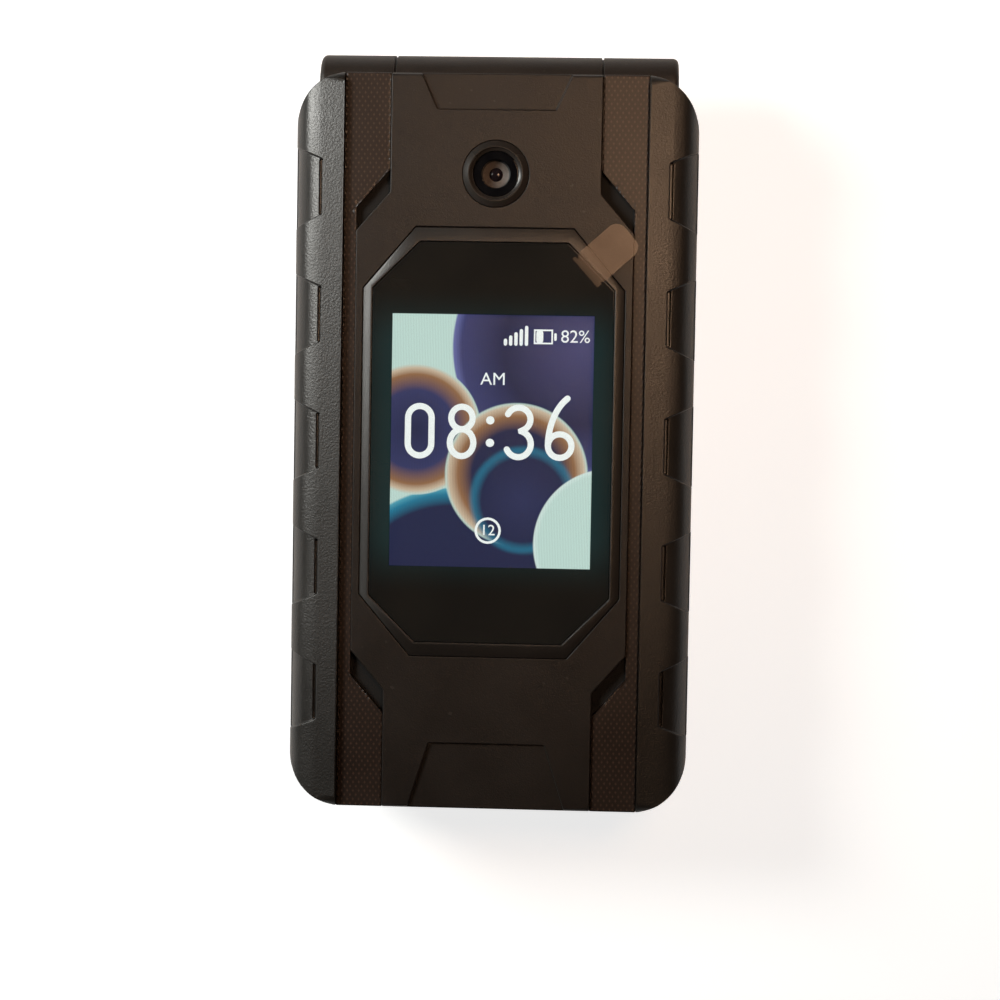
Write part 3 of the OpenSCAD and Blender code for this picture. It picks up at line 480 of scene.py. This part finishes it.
# ---- Battery, its door and its lock ----
# A pouch cell in a pale printed wrap, under a thin moulded door with finger ribs that
# is held by a lock turned with a coin.
def printed_wrap(name):
    bands_per_metre, stain_size, crease_size = 24, 6, 3
    wrap = new_material(name)
    place = add(wrap, "TexCoord").outputs["Object"]
    sockets = {"Vector": place, "Scale": bands_per_metre, "Distortion": 0.0}
    bands = add(wrap, "TexWave", sockets).outputs[1]
    base = ramp(wrap, bands, (0.1, (0.5, 0.48, 0.43)), (0.2, (0.62, 0.6, 0.54)))
    stain = ramp(wrap, noise(wrap, stain_size, 4), (0.3, 0.8), (0.7, 1.1))
    base = mixed(wrap, 0.4, base, stain, "MULTIPLY")
    crease = noise(wrap, crease_size, 3)
    bump = add(wrap, "Bump", {"Strength": 0.5, "Distance": 0.05 * MM, "Height": crease})
    rough = mapped(wrap, crease, 0.3, 0.7, 0.3, 0.42)
    return finish_with(wrap, Base_Color=base, Roughness=rough, Normal=bump.outputs[0])


dress("battery", printed_wrap("battery_wrap"))
eased_piece("battery_cover", "battery_door", rim, "base", "case_plastic", case_plastic)
lock_plastic = moulded("lock_plastic", (0.03, 0.027, 0.024), 0.4, grain=0.15)
eased_piece("battery_lock", "battery_lock_cap", rim, "battery_lock", "rail_plastic", lock_plastic)


# ---- Hinge works ----
# Spring cartridge, cam shaft and hollow bush of turned steel, the amber flexible circuit
# coiled beside the bush, two plastic end caps, and a thin black ring in each seam as painted
# shade.
def turned(profile, steps=96):
    form = bmesh.new()
    points = [form.verts.new((radius * MM, 0, level * MM)) for radius, level in profile]
    edges = [form.edges.new(pair) for pair in zip(points, points[1:] + points[:1])]
    bmesh.ops.spin(
        form, geom=points + edges, cent=(0, 0, 0), axis=(0, 0, 1), dvec=(0, 0, 0),
        angle=2 * pi, steps=steps, use_merge=True, use_duplicate=False,
    )
    bmesh.ops.remove_doubles(form, verts=form.verts, dist=0.001 * MM)
    bmesh.ops.recalc_face_normals(form, faces=form.faces)
    return form


for node in ("hinge_cartridge", "hinge_shaft", "hinge_bush"):
    dress(node, screw_steel)
flex_film = moulded("flex_film", (0.42, 0.16, 0.035), 0.32, grain=0.6, depth=0.004)
dress("hinge_flex", flex_film)
eased_piece("hinge_caps", "barrel_end_caps", 0.15, "base", "case_plastic", case_plastic)

# Painted shade: a thin dark ring closes each barrel seam, standing in for the shade inside it.
seam_ring_radius = barrel_radius - 0.25
half_thick = 0.1
seam_ring_form = bmesh.new()
for side, hole in ((1, 1.3), (-1, 2.1)):
    place = Matrix.Translation((side * barrel_seam_x * MM, hinge_middle.y, hinge_middle.z))
    place = place @ Matrix.Rotation(pi / 2, 4, "Y")
    section = [
        (hole, -half_thick), (seam_ring_radius, -half_thick),
        (seam_ring_radius, half_thick), (hole, half_thick),
    ]
    lay(seam_ring_form, mesh_of(turned(section, 48), "seam_ring"), place, 0)
new_piece("hinge_seam_shade", seam_ring_form, "base", "case_plastic", module_plastic)


# ---- Inner shell of the lid ----
# Moulded shell that faces the keys, with the middle length of the hinge barrel, the
# earpiece slots and the seat of the inner window.
lid_shell = ease(cad_form("lid_inner_cover"), 0.1, 2, where=round_barrel_end)
ease(lid_shell, 0.08, 2, where=away_from_barrel)
inner_shell = new_piece("lid_inner_shell", lid_shell, "lid", "inner_plastic", inner_plastic)
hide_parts("lid_inner_cover")
dress("earpiece", module_plastic)
dress("lid_bumpers", pad_rubber)
frame_metal = drawn_metal("frame_metal", (0.5, 0.51, 0.52), 0.4, (0.1, 1, 1))
dress("lid_frame", frame_metal)


# ---- Displays ----
# Colour displays behind both windows. Each is lit, with a plain picture of overlapping
# soft discs, fine upright pixel lines, and a clock drawn over it in white.
picture_wide, picture_tall = 28, 35


def disc(material, place, x, y, radius, soft, *stops):
    sockets = {0: place, 1: (x, y, 0)}
    away = add(material, "VectorMath", sockets, operation="DISTANCE").outputs["Value"]
    inside = mapped(material, away, radius + soft, radius - soft, 0, 1, "SMOOTHSTEP")
    return inside, ramp(material, mapped(material, away, 0, radius, 0, 1), *stops)


def disc_picture(name, columns):
    mint, pale_mint, navy = (0.55, 0.75, 0.68), (0.7, 0.85, 0.8), (0.02, 0.024, 0.07)
    violet, teal, aqua = (0.15, 0.165, 0.4), (0.02, 0.2, 0.32), (0.1, 0.4, 0.5)
    sand, rust = (0.62, 0.5, 0.36), (0.3, 0.15, 0.07)
    dusk, dusk_rim = (0.055, 0.06, 0.17), (0.05, 0.055, 0.16)
    ink, deep_ink = (0.04, 0.045, 0.13), (0.03, 0.035, 0.1)
    layers = [
        (12, 13, 17.5, 0.15, (0, dusk), (0.6, navy), (0.93, dusk_rim), (1, violet)),
        (-5, -24, 17.5, 0.2, (0, navy), (0.86, navy), (0.95, teal), (1, aqua)),
        (-10.5, 1.5, 9, 0.12, (0, navy), (0.6, ink), (0.84, rust), (0.94, sand), (1, mint)),
        (3.5, -4.5, 9.8, 0.15, (0, navy), (0.62, navy), (0.82, rust), (0.95, sand), (1, mint)),
        (4.5, -8, 7.2, 0.6, (0, deep_ink), (0.8, navy), (1, teal)),
        (16.5, -14, 10.5, 0.12, (0, mint), (0.93, mint), (1, pale_mint)),
    ]
    picture = new_material(name)
    uv = add(picture, "UVMap").outputs[0]
    corner = (-picture_wide / 2, -picture_tall / 2, 0)
    sockets = {"Vector": uv, "Location": corner, "Scale": (picture_wide, picture_tall, 1)}
    place = add(picture, "Mapping", sockets)
    colour = (*mint, 1)
    for x, y, radius, soft, *stops in layers:
        inside, shade = disc(picture, place.outputs[0], x, y, radius, soft, *stops)
        colour = mixed(picture, inside, colour, shade)
    across = add(picture, "SeparateXYZ", {0: uv}).outputs[0]
    wave = maths(picture, "SINE", maths(picture, "MULTIPLY", across, 2 * pi * columns))
    lines = mapped(picture, wave, -1, 1, 0.84, 1.08)
    lit = add(picture, "VectorMath", {0: colour, "Scale": lines}, operation="SCALE").outputs[0]
    return finish_with(
        picture, Base_Color=(0, 0, 0, 1), Roughness=0.3, Emission_Color=lit, Emission_Strength=1.0
    )


def lit_white(name):
    white = new_material(name)
    glow = mapped(white, noise(white, 0.4), 0, 1, 0.9, 1.05)
    return finish_with(
        white, Base_Color=(0, 0, 0, 1), Roughness=0.4,
        Emission_Color=(0.93, 1, 0.97, 1), Emission_Strength=glow,
    )


def clock_marks():
    wide, tall, pen = 3.25, 6.8, 0.85
    half = wide / 2
    base = 1.3 - tall / 2
    top = base + tall

    def nought(x):
        ends = arc(x, top - half, half, half, 0, 180) + arc(x, base + half, half, half, 180, 360)
        return [stroke(ends, pen, closed=True)]

    def eight(x):
        upper = arc(x, top - 1.55, half - 0.15, 1.55, 0, 345, 23)
        lower = arc(x, base + 1.85, half, 1.85, 0, 345, 23)
        return [stroke(upper, pen, closed=True), stroke(lower, pen, closed=True)]

    def three(x):
        upper = arc(x - 0.1, top - 1.6, half, 1.6, 155, -80, 20)
        return [stroke(upper + arc(x - 0.1, base + 1.8, half + 0.1, 1.8, 80, -155, 20), pen)]

    def six(x):
        bowl = arc(x, base + half, half, half, 0, 345, 23)
        stem = arc(x + wide, base + half, wide + half, tall + 0.6, 180, 118, 12)
        return [stroke(bowl, pen, closed=True), stroke(stem, pen)]

    dots = [stroke([(-0.21, y), (-0.19, y)], 1.15) for y in (base + 1.9, base + 5)]
    marks = nought(-9.9) + eight(-4.1) + dots + three(3.8) + six(9.4)
    for bar in range(5):
        x, height = 1.7 + bar * 0.72, 0.5 + bar * 0.45
        marks.append(stroke([(x, 13.4), (x, 13.4 + height)], 0.46))
    cell = [(5.7, 13.55), (8.1, 13.55), (8.1, 15.35), (5.7, 15.35)]
    marks.append(stroke(cell, 0.3, closed=True))
    marks.append(stroke([(6.4, 13.95), (6.4, 14.95)], 0.95))
    marks.append(stroke([(8.55, 14.1), (8.55, 14.8)], 0.35))
    marks.append(stroke(arc(-0.3, -12.3, 1.65, 1.65, 0, 345, 23), 0.34, closed=True))
    words_at = [("82%", 11.3, 14.45, 1.75), ("AM", 0.1, 8.5, 1.75), ("12", -0.3, -12.3, 1.5)]
    for words, x, y, height in words_at:
        text = lettering(words, height)
        text.transform(Matrix.Translation(Vector((x, y, 0)) * MM))
        marks.append(text)
    return marks


def screen(name, body, centre, wide, tall, turn, columns):
    shape = bmesh.new()
    shape.loops.layers.uv.new("UVMap")
    bmesh.ops.create_grid(shape, x_segments=4, y_segments=4, size=0.5, calc_uvs=True)
    bmesh.ops.scale(shape, verts=shape.verts, vec=(wide * MM, tall * MM, 1))
    bmesh.ops.solidify(shape, geom=shape.faces[:], thickness=0.02 * MM)
    place = Matrix.Translation(centre) @ Matrix.Rotation(turn, 4, "X")
    grow = Matrix.Diagonal((wide / picture_wide, tall / picture_tall, 1, 1))
    for mark in clock_marks():
        lay(shape, mark, Matrix.Translation((0, 0, 0.03 * MM)) @ grow)
    bmesh.ops.transform(shape, matrix=place, verts=shape.verts)
    picture = disc_picture(name + "_light", columns)
    return new_piece(name, shape, body, "picture", picture, screen_white)


screen_white = lit_white("screen_white")
dress("outer_display", module_plastic)
dress("main_display", module_plastic)
window_middle = middle_of("outer_window")
picture_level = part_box("outer_display")[1].z + 0.02 * MM
picture_centre = Vector((window_middle.x, window_middle.y + 0.3 * MM, picture_level))
screen("outer_picture", "lid", picture_centre, picture_wide, picture_tall, 0, 128)
inner_middle = middle_of("main_window")
inner_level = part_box("main_display")[0].z - 0.05 * MM
inner_centre = Vector((inner_middle.x, inner_middle.y, inner_level))
inner_wide, inner_tall = 43.2, 57.6
screen("inner_picture", "lid", inner_centre, inner_wide, inner_tall, pi, 240)


# ---- Outer shell of the lid ----
# Satin moulding with fine grain: the raised centre panel with its pockets, channels and
# two trapezoid recesses, and the walls that the bumper rails are fixed to.
strip_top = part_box("lid_strip_right")[1].z


# Painted shade: the panel's colour darkens from the strips' top down to 0.6 mm below it, in its
# pockets and channels.
def deep_in_panel(material):
    return mapped(material, level_in(material), strip_top, strip_top - 0.6 * MM, 0, 1)


def matt_when_deep(material):
    return maths(material, "MULTIPLY", deep_in_panel(material), 0.4)


panel_plastic = moulded(
    "panel_plastic", (0.0096, 0.0066, 0.005), 0.45, grain=0.2, dust=0.09, gloss=0.46,
    shadow=deep_in_panel, rougher=matt_when_deep,
)
eased_piece("lid_outer_cover", "lid_panel", 0.14, "lid", "panel_plastic", panel_plastic)


# ---- Bumper rails ----
# Tougher moulded rails with coarser grain along both sides, each with a row of
# recessed pads that break its shoulder.
rail_low, rail_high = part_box("lid_rail_right")


def smoother_below_shoulder(material):
    lower, upper = rail_high.z - 1.9 * MM, rail_high.z - 0.8 * MM
    return mapped(material, level_in(material), lower, upper, -0.1, 0)


rail_plastic = moulded(
    "rail_plastic", (0.0095, 0.0076, 0.006), 0.42, grain=0.28, depth=0.045, dust=0.08, gloss=0.74,
    rougher=smoother_below_shoulder,
)
rail_width = (rail_high.x - rail_low.x) / MM
shoulder_radius = 5
facet_end = 3.8
facet_slope = 0.2
wall_height, wall_blend = 4, 3.4


def facet_drop(point):
    inward = rail_high.x / MM - abs(point.x)
    near = max(inward, facet_end)
    sag = shoulder_radius - sqrt(shoulder_radius**2 - max(shoulder_radius - near, 0) ** 2)
    drop = max(facet_slope * (rail_width - near) - sag, 0)
    fade = min(max(inward, 0) / facet_end, 1)
    height = min(max((point.z - rail_high.z / MM + wall_height) / wall_blend, 0), 1)
    return drop * fade * fade * (3 - 2 * fade) * height


def inner_top_edge(point):
    top_depth, straight_reach = 2.2, 45
    beside_strip = abs(abs(point.x) - rail_low.x / MM) < 0.02
    near_top = point.z > rail_high.z / MM - top_depth
    return beside_strip and near_top and abs(point.y) < straight_reach


for side in ("left", "right"):
    rail_form = cad_form("lid_rail_" + side)
    for vert in rail_form.verts:
        vert.co.z -= facet_drop(vert.co / MM) * MM
    ease(rail_form, 0.3, 4, where=inner_top_edge)
    ease(rail_form, 0.14)
    rail = new_piece("bumper_rail_" + side, rail_form, "lid", "rail_plastic", rail_plastic)
    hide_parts("lid_rail_" + side)


# ---- Textured strips ----
# Dark strips let in beside the panel. Their face is a knurl of small four-sided
# points, which the mould forms with the strip.
step_slope = 1.15
narrow_width = 1.8 * MM
skirt_depth = 0.1 * MM


def knurled_face(low, high, wide_from, cell=0.56, rise=0.2, stretch=1.5):
    face = bmesh.new()
    reach = (high.y - low.y) / 2 + (high.x - low.x)
    side = reach / sqrt(2) + 2 * MM
    count = int(2 * side / (cell * MM))
    bmesh.ops.create_grid(face, x_segments=count, y_segments=count, size=side)
    middle = (low + high) / 2
    place = Matrix.Translation((middle.x, middle.y, high.z + 0.004 * MM))
    place = place @ Matrix.Diagonal((1, stretch, 1, 1)) @ Matrix.Rotation(pi / 4, 4, "Z")
    bmesh.ops.transform(face, matrix=place, verts=face.verts)
    edge = cell * MM

    def outside(point):
        beside = point.x < low.x - edge or point.x > high.x + edge
        return beside or abs(point.y - middle.y) > (high.y - low.y) / 2 + edge

    far = [part for part in face.faces if outside(part.calc_center_median())]
    bmesh.ops.delete(face, geom=far, context="FACES")
    bmesh.ops.poke(face, faces=face.faces[:], offset=rise * MM)
    inset = 0.1 * MM
    end = 0.2 * MM

    def cut(x, y, nx, ny, clear, within=None):
        parts = set()
        for part in face.faces:
            if within is None or within(part.calc_center_median()):
                parts.update([part, *part.edges, *part.verts])
        bmesh.ops.bisect_plane(
            face, geom=list(parts), dist=0.001 * MM, plane_co=(x, y, 0),
            plane_no=(nx, ny, 0), clear_outer=clear,
        )

    cut(high.x - inset, 0, 1, 0, True)
    cut(low.x + inset, 0, -1, 0, True)
    cut(0, high.y - end, 0, 1, True)
    cut(0, low.y + end, 0, -1, True)
    narrow = high.x - narrow_width + inset
    wide = wide_from - inset

    def limit(x):
        return wide - (x - low.x) * step_slope

    def beside_window(point):
        return point.x < narrow + edge and abs(point.y - middle.y) < limit(point.x) + edge

    cut(low.x, middle.y + wide, step_slope, 1, False, beside_window)
    cut(low.x, middle.y - wide, step_slope, -1, False, beside_window)
    cut(narrow, 0, 1, 0, False, beside_window)
    inner = []
    for part in face.faces:
        point = part.calc_center_median()
        if point.x < narrow and abs(point.y - middle.y) < limit(point.x):
            inner.append(part)
    bmesh.ops.delete(face, geom=inner, context="FACES")
    border = [part for part in face.edges if len(part.link_faces) == 1]
    skirt = bmesh.ops.extrude_edge_only(face, edges=border)["geom"]
    for part in skirt:
        if isinstance(part, bmesh.types.BMVert):
            part.co.z = high.z - skirt_depth
    return face


# The knurl's points are painted lighter near their tips, a painted highlight that makes them show.
strip_plastic = moulded(
    "strip_plastic", (0.0165, 0.0095, 0.0066), 0.42, grain=0.16, depth=0.01, gloss=0.45,
    tip_highlight=(strip_top + 0.1 * MM, strip_top + 0.18 * MM),
)
strip_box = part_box("lid_strip_right")
window_side_reach = 37.6 * MM
for side in ("left", "right"):
    knurl = knurled_face(*strip_box, window_side_reach)
    if side == "left":
        bmesh.ops.scale(knurl, verts=knurl.verts, vec=(-1, 1, 1))
        bmesh.ops.reverse_faces(knurl, faces=knurl.faces)
    body = ease(cad_form("lid_strip_" + side), 0.06, 1)
    lay(body, mesh_of(knurl, "knurl"), Matrix.Identity(4), 0)
    strip = new_piece("knurled_strip_" + side, body, "lid", "strip_plastic", strip_plastic)
    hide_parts("lid_strip_" + side)


# ---- Bezel and outer window ----
# Sloping satin frame that stands out of the panel, and the window seated in it: black
# from behind, with a clear area over the lit picture and a polished edge.
bezel_plastic = moulded("bezel_plastic", (0.0102, 0.008, 0.0066), 0.4, grain=0.2, gloss=0.72)
eased_piece("window_bezel", "bezel_frame", rim, "lid", "bezel_plastic", bezel_plastic)


def printed_glass(name, middle, wide, tall):
    glass = new_material(name)
    place = add(glass, "TexCoord").outputs["Object"]
    sockets = {"Vector": place, "Location": (-middle.x, -middle.y, 0)}
    local = add(glass, "Mapping", sockets).outputs[0]
    x, y = add(glass, "SeparateXYZ", {0: local}).outputs[:2]
    beyond_x = maths(glass, "SUBTRACT", maths(glass, "ABSOLUTE", x), wide / 2 * MM)
    beyond_y = maths(glass, "SUBTRACT", maths(glass, "ABSOLUTE", y), tall / 2 * MM)
    beyond = maths(glass, "MAXIMUM", beyond_x, beyond_y)
    alpha = mapped(glass, beyond, -0.02 * MM, 0.04 * MM, 0.05, 1)
    # Painted light: a teal glow on the window, strongest beside the picture's sides and fading
    # towards its ends.
    side_glow = mapped(glass, beyond_x, 0, 5 * MM, 0.05, 0, "SMOOTHSTEP")
    end_fade = mapped(glass, beyond_y, -5 * MM, 4 * MM, 1, 0, "SMOOTHSTEP")
    glow = maths(glass, "MULTIPLY", side_glow, end_fade)
    smear = noise(glass, 9, 3)
    rough = mapped(glass, smear, 0.3, 0.7, 0.06, 0.12)
    base = ramp(glass, smear, (0.3, (0.011, 0.011, 0.0105)), (0.7, (0.015, 0.0145, 0.013)))
    return finish_with(
        glass, Base_Color=base, Roughness=rough, Alpha=alpha,
        Emission_Color=(0.05, 0.35, 0.38, 1), Emission_Strength=glow,
    )


overlap = 0.3
outer_glass = printed_glass(
    "outer_glass", picture_centre, picture_wide - overlap, picture_tall - overlap
)
inner_glass = printed_glass("inner_glass", inner_centre, inner_wide - 0.2, inner_tall - 0.2)
eased_piece("outer_window", "outer_glass_pane", rim, "lid", "window_glass", outer_glass)
eased_piece("main_window", "inner_glass_pane", rim, "lid", "window_glass", inner_glass)


# ---- Protective film ----
# Thin clear film that the maker leaves on the window, with a brownish pull tab that
# bends down over the bezel's corner onto the panel.
tab_turn = radians(42)
tab_direction = Vector((cos(tab_turn), sin(tab_turn), 0))
tab_normal = Vector((-tab_direction.y, tab_direction.x, 0))
tab_root = Vector((13.3, window_middle.y / MM + 24.25, 0)) * MM
tab_half = 2.61 * MM
tab_overlap = 1.2 * MM
bent_width = 3
bend_step, bend_depth, bend_length = 0.3, 0.4, 2.0


def tab_film(name, tint, solid):
    film = new_material(name)
    place = add(film, "TexCoord").outputs["Object"]
    sockets = {0: place, 1: tab_root}
    offset = add(film, "VectorMath", sockets, operation="SUBTRACT").outputs[0]

    def measured(direction):
        sockets = {0: offset, 1: direction}
        return add(film, "VectorMath", sockets, operation="DOT_PRODUCT").outputs["Value"]

    along, across = measured(tab_direction), measured(tab_normal)
    beside = maths(film, "GREATER_THAN", maths(film, "ABSOLUTE", across), tab_half)
    before = maths(film, "LESS_THAN", along, -tab_overlap)
    off_tab = maths(film, "MAXIMUM", beside, before)
    deepening = mapped(film, along, -tab_overlap, 1.6 * MM, 0.35, 1)
    on_tab = maths(film, "SUBTRACT", deepening, off_tab)
    alpha = mapped(film, on_tab, 0, 1, 0.01 * solid, solid)
    smear = noise(film, 3, 3)
    base = ramp(film, smear, (0.3, tinted(tint, 0.9)), (0.7, tint))
    rough = mapped(film, smear, 0.3, 0.7, 0.2, 0.34)
    return finish_with(film, Base_Color=base, Roughness=rough, Alpha=alpha)


def bend_down(along):
    share = min(max((along - 0.5) / bend_length, 0), 1)
    return bend_depth * share * share * (3 - 2 * share)


film_form = cad_form("window_film")
for step in range(1, 16):
    bmesh.ops.bisect_plane(
        film_form, geom=film_form.verts[:] + film_form.edges[:] + film_form.faces[:],
        plane_co=tab_root + tab_direction * bend_step * step * MM, plane_no=tab_direction,
        dist=0.001 * MM,
    )
for vert in film_form.verts:
    along = (vert.co - tab_root).dot(tab_direction) / MM
    across = (vert.co - tab_root).cross(tab_direction).length / MM
    if across < bent_width:
        vert.co.z -= bend_down(along) * MM
# The film's cut edges get a lighter, more solid tint: a painted highlight along them.
for face in film_form.faces:
    face.material_index = 1 if abs(face.normal.z) < 0.5 else 0
film_sheet = tab_film("film_sheet", (0.38, 0.25, 0.165), 0.25)
film_edge_glint = tab_film("film_edge_glint", (0.7, 0.6, 0.48), 0.75)
film = new_piece("film_and_tab", film_form, "lid", "clear_film", film_sheet, film_edge_glint)
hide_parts("window_film")


# ---- Camera ----
# Camera unit on the lid's board: a black barrel with a grey-brown iris cone and a
# domed front element, behind a small black-rimmed glass in a turned ring.
camera_low, camera_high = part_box("camera_ring")
camera_middle = middle_of("camera_ring")
camera_middle.z = 0
ring_bottom, ring_top = camera_low.z / MM, camera_high.z / MM
ring_foot = ring_top - 0.5
ring_profile = [
    (3.15, ring_bottom), (4.5, ring_bottom), (4.5, ring_foot), (4.38, ring_foot + 0.12),
    (3.84, ring_top - 0.08), (3.74, ring_top), (3.62, ring_top), (3.55, ring_top - 0.05),
    (3.5, ring_top - 0.2), (3.3, ring_top - 0.34), (3.15, ring_top - 0.4),
]
ring_gloss = moulded("ring_gloss", (0.022, 0.019, 0.017), 0.26, grain=0.1, depth=0.004)
trim_form = turned(ring_profile)
bmesh.ops.translate(trim_form, verts=trim_form.verts, vec=camera_middle)
trim = new_piece("camera_trim", trim_form, "lid", "bezel_plastic", ring_gloss)
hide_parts("camera_ring")


def lens_glass(name, clear):
    glass = new_material(name)
    place = add(glass, "TexCoord").outputs["Object"]
    flat = add(glass, "VectorMath", {0: place, 1: (1, 1, 0)}, operation="MULTIPLY").outputs[0]
    sockets = {0: flat, 1: camera_middle}
    away = add(glass, "VectorMath", sockets, operation="DISTANCE").outputs["Value"]
    alpha = mapped(glass, away, (clear - 0.03) * MM, (clear + 0.03) * MM, 0.04, 1)
    smear = noise(glass, 2, 2)
    base = ramp(glass, smear, (0.3, (0.003, 0.003, 0.004)), (0.7, (0.006, 0.006, 0.007)))
    rough = mapped(glass, smear, 0.3, 0.7, 0.04, 0.09)
    return finish_with(glass, Base_Color=base, Roughness=rough, Alpha=alpha)


camera_glass = lens_glass("camera_glass", 2.0)
eased_piece("camera_window", "camera_glass", 0.1, "lid", "window_glass", camera_glass)
iris_grey = moulded("iris_grey", (0.12, 0.1, 0.088), 0.5, grain=0.4, depth=0.01)
pupil_glass = moulded("pupil_glass", (0.012, 0.008, 0.01), 0.08, grain=0.6, depth=0.001)
unit = ease(cad_form("camera_module"), 0.08, 1)
front = highest_face(unit)
barrel_and_cone = [(1.12, 0.0, 0), (0.1, 0.1, 0), (0.8, 0.25, 1), (0.06, 0.1, 1)]
dome = [(0.2, 0.16), (0.25, 0.11), (0.25, 0.05)]
for inner_step, drop, index in barrel_and_cone:
    bmesh.ops.inset_region(unit, faces=[front], thickness=inner_step * MM, depth=0)
    bmesh.ops.translate(unit, verts=front.verts, vec=(0, 0, -drop * MM))
    for edge in front.edges:
        for face in edge.link_faces:
            if face is not front:
                face.material_index = index
for inner_step, lift in dome:
    bmesh.ops.inset_region(unit, faces=[front], thickness=inner_step * MM, depth=0)
    bmesh.ops.translate(unit, verts=front.verts, vec=(0, 0, lift * MM))
    for edge in front.edges:
        for face in edge.link_faces:
            face.material_index = 2
camera_unit = new_piece(
    "camera_unit", unit, "lid", "module_plastic", module_plastic, iris_grey, pupil_glass
)
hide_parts("camera_module")


# ---- Floor and lights ----
# White floor, open under the phone so that its back shows from below, with a strong white
# lamp at the left, a weak warm one above, and a world that is brighter low at the sides.
floor_reach = 50
floor_level = -0.02 * MM
opening_inset = 1.2 * MM
opening_corner = 4 * MM
base_low, base_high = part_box("base_rear_case")
base_middle = middle_of("base_rear_case")
half_x = (base_high.x - base_low.x) / 2 - opening_inset
half_y = (base_high.y - base_low.y) / 2 - opening_inset
outline = []
for x, y in ((1, 1), (-1, 1), (-1, -1), (1, -1)):
    side_end = (x * half_x, y * (half_y - opening_corner))
    top_end = (x * (half_x - opening_corner), y * half_y)
    outline += [side_end, top_end] if x * y > 0 else [top_end, side_end]
floor_form = bmesh.new()
near = [
    floor_form.verts.new((base_middle.x + x, base_middle.y + y, floor_level)) for x, y in outline
]
far = [floor_form.verts.new((floor_reach * x, floor_reach * y, floor_level)) for x, y in outline]
for i, j in zip(range(8), [*range(1, 8), 0]):
    floor_form.faces.new((near[i], far[i], far[j], near[j]))
floor_mesh = mesh_of(floor_form, "floor")
floor = bpy.data.objects.new("floor", floor_mesh)
bpy.context.scene.collection.objects.link(floor)
floor_white = new_material("floor_white")
shown_white, mirrored_share = 0.78, 0.25
rays = add(floor_white, "LightPath").outputs
seen = maths(floor_white, "MAXIMUM", rays["Is Camera Ray"], rays["Is Transmission Ray"])
mirrored = maths(floor_white, "MULTIPLY", rays["Is Glossy Ray"], mirrored_share)
seen = maths(floor_white, "MAXIMUM", seen, mirrored)
shine = maths(floor_white, "MULTIPLY", seen, shown_white)
finish_with(
    floor_white, Base_Color=(0.62, 0.62, 0.62, 1), Roughness=0.9,
    Emission_Color=(1, 1, 1, 1), Emission_Strength=shine,
)
floor_mesh.materials.append(floor_white)


def lamp(name, place, target, size, spread, strength, colour):
    light = bpy.data.lights.new(name, "AREA")
    light.shape = "DISK"
    light.size = size
    light.energy = strength
    light.color = colour
    light.spread = radians(spread)
    holder = bpy.data.objects.new(name, light)
    holder.location = place
    aim = Vector(target) - Vector(place)
    holder.rotation_euler = aim.to_track_quat("-Z", "Y").to_euler()
    bpy.context.scene.collection.objects.link(holder)


lamp_white, lamp_amber = (1.0, 1.0, 0.95), (1.0, 0.62, 0.38)
lamp("key_light", (-0.242, 0.105, 0.21), (0, 0, 0), 0.12, 180, 0.86, lamp_white)
lamp("warm_light", (0.085, 0.08, 0.29), (0.008, 0.035, 0.02), 0.1, 60, 0.042, lamp_amber)
world = bpy.data.worlds.new("studio")
world.use_nodes = True
sky = world.node_tree.nodes["Background"]
view = add(world, "TexCoord").outputs["Generated"]
across, _, height = add(world, "SeparateXYZ", {0: view}).outputs
level = ramp(world, height, (0.12, 1.0), (0.75, 0.14))
pale_left, dim_left = (0.36, 0.375, 0.35), (0.1, 0.095, 0.085)
dim_right, warm_right = (0.1, 0.08, 0.065), (0.22, 0.17, 0.135)
studio_share, backdrop_white = (0.6, 0.6, 0.6, 1), (0.93, 0.93, 0.93, 1)
side_colour = ramp(
    world, mapped(world, across, -1, 1, 0, 1),
    (0.05, pale_left), (0.4, dim_left), (0.6, dim_right), (0.95, warm_right),
)
studio = mixed(world, 1, side_colour, level, "MULTIPLY")
studio = mixed(world, 1, studio, studio_share, "MULTIPLY")
seen = add(world, "LightPath").outputs["Is Camera Ray"]
world.node_tree.links.new(mixed(world, seen, studio, backdrop_white), sky.inputs[0])
sky.inputs[1].default_value = 1
bpy.context.scene.world = world
bpy.context.scene.view_settings.view_transform = "Standard"
